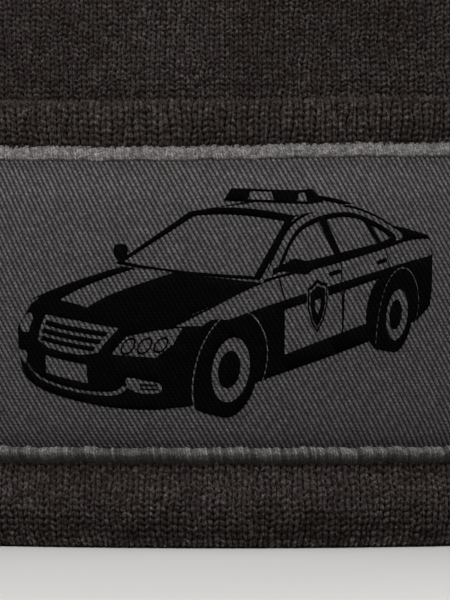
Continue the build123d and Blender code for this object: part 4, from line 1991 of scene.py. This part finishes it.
@dataclass
class PrintedFilm:
    """The figure's ink, a thin film that follows the twill."""

    patch: PatchPlace
    figure: PatrolCarFigure
    finish: TwillFinish
    twill: TwillPanel
    above: float = 0.03 * MM
    thick: float = 0.12 * MM
    strip: float = 0.96 * MM
    step: float = 3.0 * MM

    def cut(self) -> tuple[Array, Array]:
        """Cut the inked area into triangles, narrow enough to bend with the twill.

        Returns:
            The points on the patch and the triangles.
        """
        areas = self.figure.draw()
        points: list[mathutils.Vector] = []
        edges = []
        for _, outline in areas:
            first, count = len(points), len(outline)
            edges.extend((first + step, first + (step + 1) % count) for step in range(count))
            points.extend(mathutils.Vector(place) / MM for place in outline)
        every = np.concatenate([outline for _, outline in areas]) / MM
        low, high = every.min(axis=0) - 0.5, every.max(axis=0) + 0.5
        lean = self.twill.lean
        ribs = np.arange(low[0] + low[1] * lean, high[0] + high[1] * lean, self.strip / MM)
        cuts = [
            ((line - low[1] * lean, low[1]), (line - high[1] * lean, high[1])) for line in ribs
        ]
        levels = np.arange(low[1], high[1], self.step / MM)
        cuts += [((low[0], line), (high[0], line)) for line in levels]
        for start, end in cuts:
            edges.append((len(points), len(points) + 1))
            points.extend((mathutils.Vector(start), mathutils.Vector(end)))
        places, _, triangles, *_ = mathutils.geometry.delaunay_2d_cdt(
            points, edges, [], 0, 1e-5, False
        )
        flat = np.array([tuple(place) for place in places]) * MM
        triangles = np.array(triangles)
        middles = flat[triangles].mean(axis=1)
        inked = np.zeros(len(triangles), dtype=bool)
        for ink, outline in areas:
            inked[self.covers(outline, middles)] = ink is Ink.PRINTED
        return flat, triangles[inked]

    @staticmethod
    def covers(outline: Array, points: Array) -> Array:
        """Return which points lie inside an outline."""
        start, end = outline, np.roll(outline, -1, axis=0)
        x, y = points[:, 0, None], points[:, 1, None]
        spans = (start[:, 1] > y) != (end[:, 1] > y)
        rise = np.where(spans, end[:, 1] - start[:, 1], 1.0)
        cross = start[:, 0] + (y - start[:, 1]) / rise * (end[:, 0] - start[:, 0])
        return (spans & (x < cross)).sum(axis=1) % 2 == 1

    def build(self) -> Piece:
        """Print the film, with its edges turned down into the cloth."""
        flat, triangles = self.cut()
        u, v = flat.T
        corners = flat[triangles]
        first = corners[:, 1] - corners[:, 0]
        second = corners[:, 2] - corners[:, 0]
        turn = first[:, 0] * second[:, 1] - first[:, 1] * second[:, 0]
        triangles = np.where(turn[:, None] < 0.0, triangles[:, ::-1], triangles)
        triangles = triangles[np.abs(turn) > 1e-12]
        rib = (u + v * self.twill.across_rib / self.twill.up_rib) / self.twill.across_rib
        surface = self.twill.out + self.twill.relief / 2.0 + self.above - self.patch.dip(u, v)
        top = self.patch.place(u, v, surface)
        foot = self.patch.place(u, v, surface - self.thick)
        directed = np.concatenate([triangles[:, sides] for sides in ([0, 1], [1, 2], [2, 0])])
        _, where, times = np.unique(
            np.sort(directed, axis=1), axis=0, return_inverse=True, return_counts=True
        )
        start, end = directed[times[where.ravel()] == 1].T
        walls = [
            np.stack([end, start, start + len(flat)], axis=-1),
            np.stack([end, start + len(flat), end + len(flat)], axis=-1),
        ]
        skin = Skin()
        skin.add(
            np.concatenate([top, foot]),
            np.concatenate([triangles, *walls]),
            np.tile(pairs(rib, v / self.twill.thread), (2, 1)),
            np.tile(flat, (2, 1)),
        )
        piece = skin.piece("patch_print_ink", self.finish.material())
        return dress(piece)


@dataclass
class Studio:
    """Pale floor, soft light from above and the camera at the photograph's angle."""

    front: float
    aim_height: float = 45.2 * MM
    distance: float = 0.80
    seen_height: float = 109.0 * MM
    film: float = 36.0
    floor_half: float = 6.0
    floor_colour: tuple[float, float, float] = (0.62, 0.61, 0.60)
    fade: tuple[float, float] = (0.35, 1.3)
    key_power: float = 4.0
    fill_power: float = 0.5
    side_power: float = 6.0
    back_power: float = 11.0
    lit_height: float = 0.08
    bounce: float = 0.40
    pale: float = 0.68
    world_grey: float = 0.9
    world_light: float = 0.065

    def build_camera(self) -> None:
        """Set the camera square to the front of the cuff."""
        camera = bpy.data.cameras.new("camera")
        camera.sensor_width = self.film
        camera.lens = self.film * self.distance / self.seen_height
        camera.clip_start = 0.01
        holder = put("camera", camera)
        holder.location = (0.0, self.front - self.distance, self.aim_height)
        holder.rotation_euler = (math.pi / 2.0, 0.0, 0.0)
        bpy.context.scene.camera = holder

    def build_floor(self) -> None:
        """Lay a wide plain pale floor under the hat."""
        mesh = bpy.data.meshes.new("floor")
        half = self.floor_half
        corners = [(-half, -half, 0), (half, -half, 0), (half, half, 0), (-half, half, 0)]
        mesh.from_pydata(corners, [], [(0, 1, 2, 3)])
        floor = put("floor", mesh)
        shader = Shader("pale_floor")
        ray = shader.node("ShaderNodeLightPath")
        seen = shader.math("ADD", ray.outputs["Is Camera Ray"], ray.outputs["Is Glossy Ray"])
        seen = shader.math("ADD", seen, ray.outputs["Is Transmission Ray"])
        shader.tint(self.floor_colour, shader.ramp(seen, 0.0, 1.0, self.bounce, 1.0))
        mesh.materials.append(shader.finish(0.9, 0.0, 0.1))
        self.fade_out(shader, seen)

    def fade_out(self, shader: Shader, seen: Socket) -> None:
        """Let the far floor turn into the plain pale backdrop, with no horizon.

        Args:
            shader: The floor's shader.
            seen: 1 for rays that show the floor, 0 for rays that it lights.
        """
        length = shader.node("ShaderNodeVectorMath", operation="LENGTH")
        shader.join(shader.places(), length.inputs[0])
        far = shader.ramp(length.outputs["Value"], *self.fade, 0.0, 1.0)
        glow = shader.node("ShaderNodeEmission")
        glow.inputs["Color"].default_value = (self.pale, self.pale, self.pale, 1.0)
        blend = shader.node("ShaderNodeMixShader")
        faded = shader.fed(
            blend, shader.times(far, seen), shader.surface.outputs[0], glow.outputs[0]
        )
        shader.join(faded, shader.tree.nodes["Material Output"].inputs["Surface"])

    def lamp(self, name: str, place: Sequence[float], size: float, power: float) -> None:
        """Hang a square soft light that points at the hat.

        Args:
            name: Name of the light.
            place: Where it hangs.
            size: Length of its sides.
            power: Its power in watts.
        """
        light = bpy.data.lights.new(name, "AREA")
        light.size = size
        light.energy = power
        holder = put(name, light)
        holder.location = place
        aim = mathutils.Vector((0.0, 0.0, self.lit_height)) - mathutils.Vector(place)
        holder.rotation_euler = aim.to_track_quat("-Z", "Y").to_euler()

    def build_lights(self) -> None:
        """Light the hat softly from above its front, with a pale world as fill."""
        self.lamp("key", (-0.06, -0.46, 0.58), 0.3, self.key_power)
        self.lamp("fill", (0.9, -1.2, 0.5), 1.2, self.fill_power)
        self.lamp("back", (0.2, 1.3, 1.0), 1.0, self.back_power)
        self.lamp("left", (-1.3, 0.25, 1.0), 1.0, self.side_power)
        self.lamp("right", (1.3, 0.25, 1.0), 1.0, self.side_power)
        world = bpy.data.worlds.new("world")
        bpy.context.scene.world = world
        world.use_nodes = True
        nodes, links = world.node_tree.nodes, world.node_tree.links
        light = nodes["Background"]
        backdrop = nodes.new("ShaderNodeBackground")
        light.inputs["Strength"].default_value = self.world_light
        for source, grey in ((light, self.world_grey), (backdrop, self.pale)):
            source.inputs["Color"].default_value = (grey, grey, grey, 1.0)
        ray = nodes.new("ShaderNodeLightPath")
        blend = nodes.new("ShaderNodeMixShader")
        for source, socket in zip((ray, light, backdrop), blend.inputs):
            links.new(source.outputs[0], socket)
        links.new(blend.outputs[0], nodes["World Output"].inputs["Surface"])
        bpy.context.scene.view_settings.view_transform = "Standard"

    def build(self) -> None:
        """Build the camera, floor and lights."""
        self.build_camera()
        self.build_floor()
        self.build_lights()


def main() -> None:
    """Build and dress the hat, then the studio round it."""
    logging.basicConfig(level=logging.INFO, format="%(name)s: %(message)s")
    cuff_low, cuff_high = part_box("cuff_band")
    fold_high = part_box("brim_fold")[1]
    wall_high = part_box("crown_wall")[1]
    gore_low, gore_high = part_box("crown_gore_front_left")
    border_low, border_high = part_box("patch_border")
    plan = OvalPlan(cuff_high.x, -cuff_low.y)
    wave = ClothWave(plan.girth, cuff_high.z)
    layer = 1.5 * MM
    crown_offset = wall_high.x - cuff_high.x

    studio = Studio(front=cuff_low.y)
    studio.build()

    yarn = (0.0290, 0.0252, 0.0239)
    cuff_yarn = YarnFinish("cuff_knit", (0.0352, 0.0307, 0.0291), "cuff_knit")
    crown_yarn = YarnFinish("crown_knit", yarn, "crown_knit")
    lining_yarn = YarnFinish("lining_knit", yarn, "lining_knit")
    seam_yarn = YarnFinish("seam_thread", (0.025, 0.021, 0.019), "seam_thread")

    patch = PatchPlace(
        plan,
        wave,
        width=114.0 * MM,
        height=border_high.z - border_low.z,
        bottom=border_low.z,
        corner=6.0 * MM,
    )
    cuff_form = StitchForm(wale=2.07 * MM, course=1.19 * MM)
    cuff_cloth = CuffCloth(cuff_form, plan, wave, patch, cuff_high.z, fold_high.z, layer)
    Cuff(cuff_cloth, patch, cuff_yarn).build()

    crown_form = StitchForm(
        wale=1.78 * MM,
        course=1.02 * MM,
        leg_height=0.5 * MM,
        gap_depth=0.34 * MM,
        period=280,
        seed=11,
    )
    crown = Crown(
        crown_form,
        plan,
        crown_yarn,
        offset=crown_offset,
        low=74.0 * MM,
        dome_start=wall_high.z,
        top=gore_high.z,
    )
    crown.build()
    lining_form = StitchForm(wale=1.78 * MM, course=1.02 * MM, period=280, seed=13)
    Lining(
        lining_form,
        plan,
        lining_yarn,
        offset=crown_offset - 2.0 * layer,
        low=fold_high.z + 1.8 * MM,
        dome_start=wall_high.z,
        top=gore_high.z - 2.0 * layer,
    ).build()
    seams = CrownSeams(crown, seam_yarn, gore_low.z)
    seams.build_seams()
    knot_sunk = 0.6 * MM
    outer_peak = gore_high.z - knot_sunk
    inner_peak = gore_high.z - 2.0 * layer + knot_sunk
    seams.build_knot("crown_knot_gathered", outer_peak, 1.0, "crown_knot")
    seams.build_knot("lining_knot_gathered", inner_peak, -1.0, "lining_knot")

    backing_and_twill = 1.5 * MM
    grey = TwillFinish("patch_twill", (0.0724, 0.0680, 0.0684), "patch_twill")
    twill = TwillPanel(patch, grey, backing_and_twill)
    ink = TwillFinish(
        "patch_ink",
        (0.0015, 0.0015, 0.0015),
        "patch_twill",
        lines=0.25,
        sheen=0.0,
        roughness=0.9,
        specular=0.03,
    )
    thread = ThreadFinish("patch_border_thread", (0.1475, 0.1382, 0.1357), "patch_border_thread")
    cloth = twill.build()
    felt = YarnFinish("patch_backing", (0.03, 0.03, 0.03), "patch_backing")
    backing = twill.build_backing(felt)
    edge = WrappedEdge(
        patch, thread, width=3.0 * MM, proud=2.3 * MM, twill_out=backing_and_twill
    ).build()
    film = PrintedFilm(patch, PatrolCarFigure(), ink, twill).build()


if __name__ == "__main__":
    main()
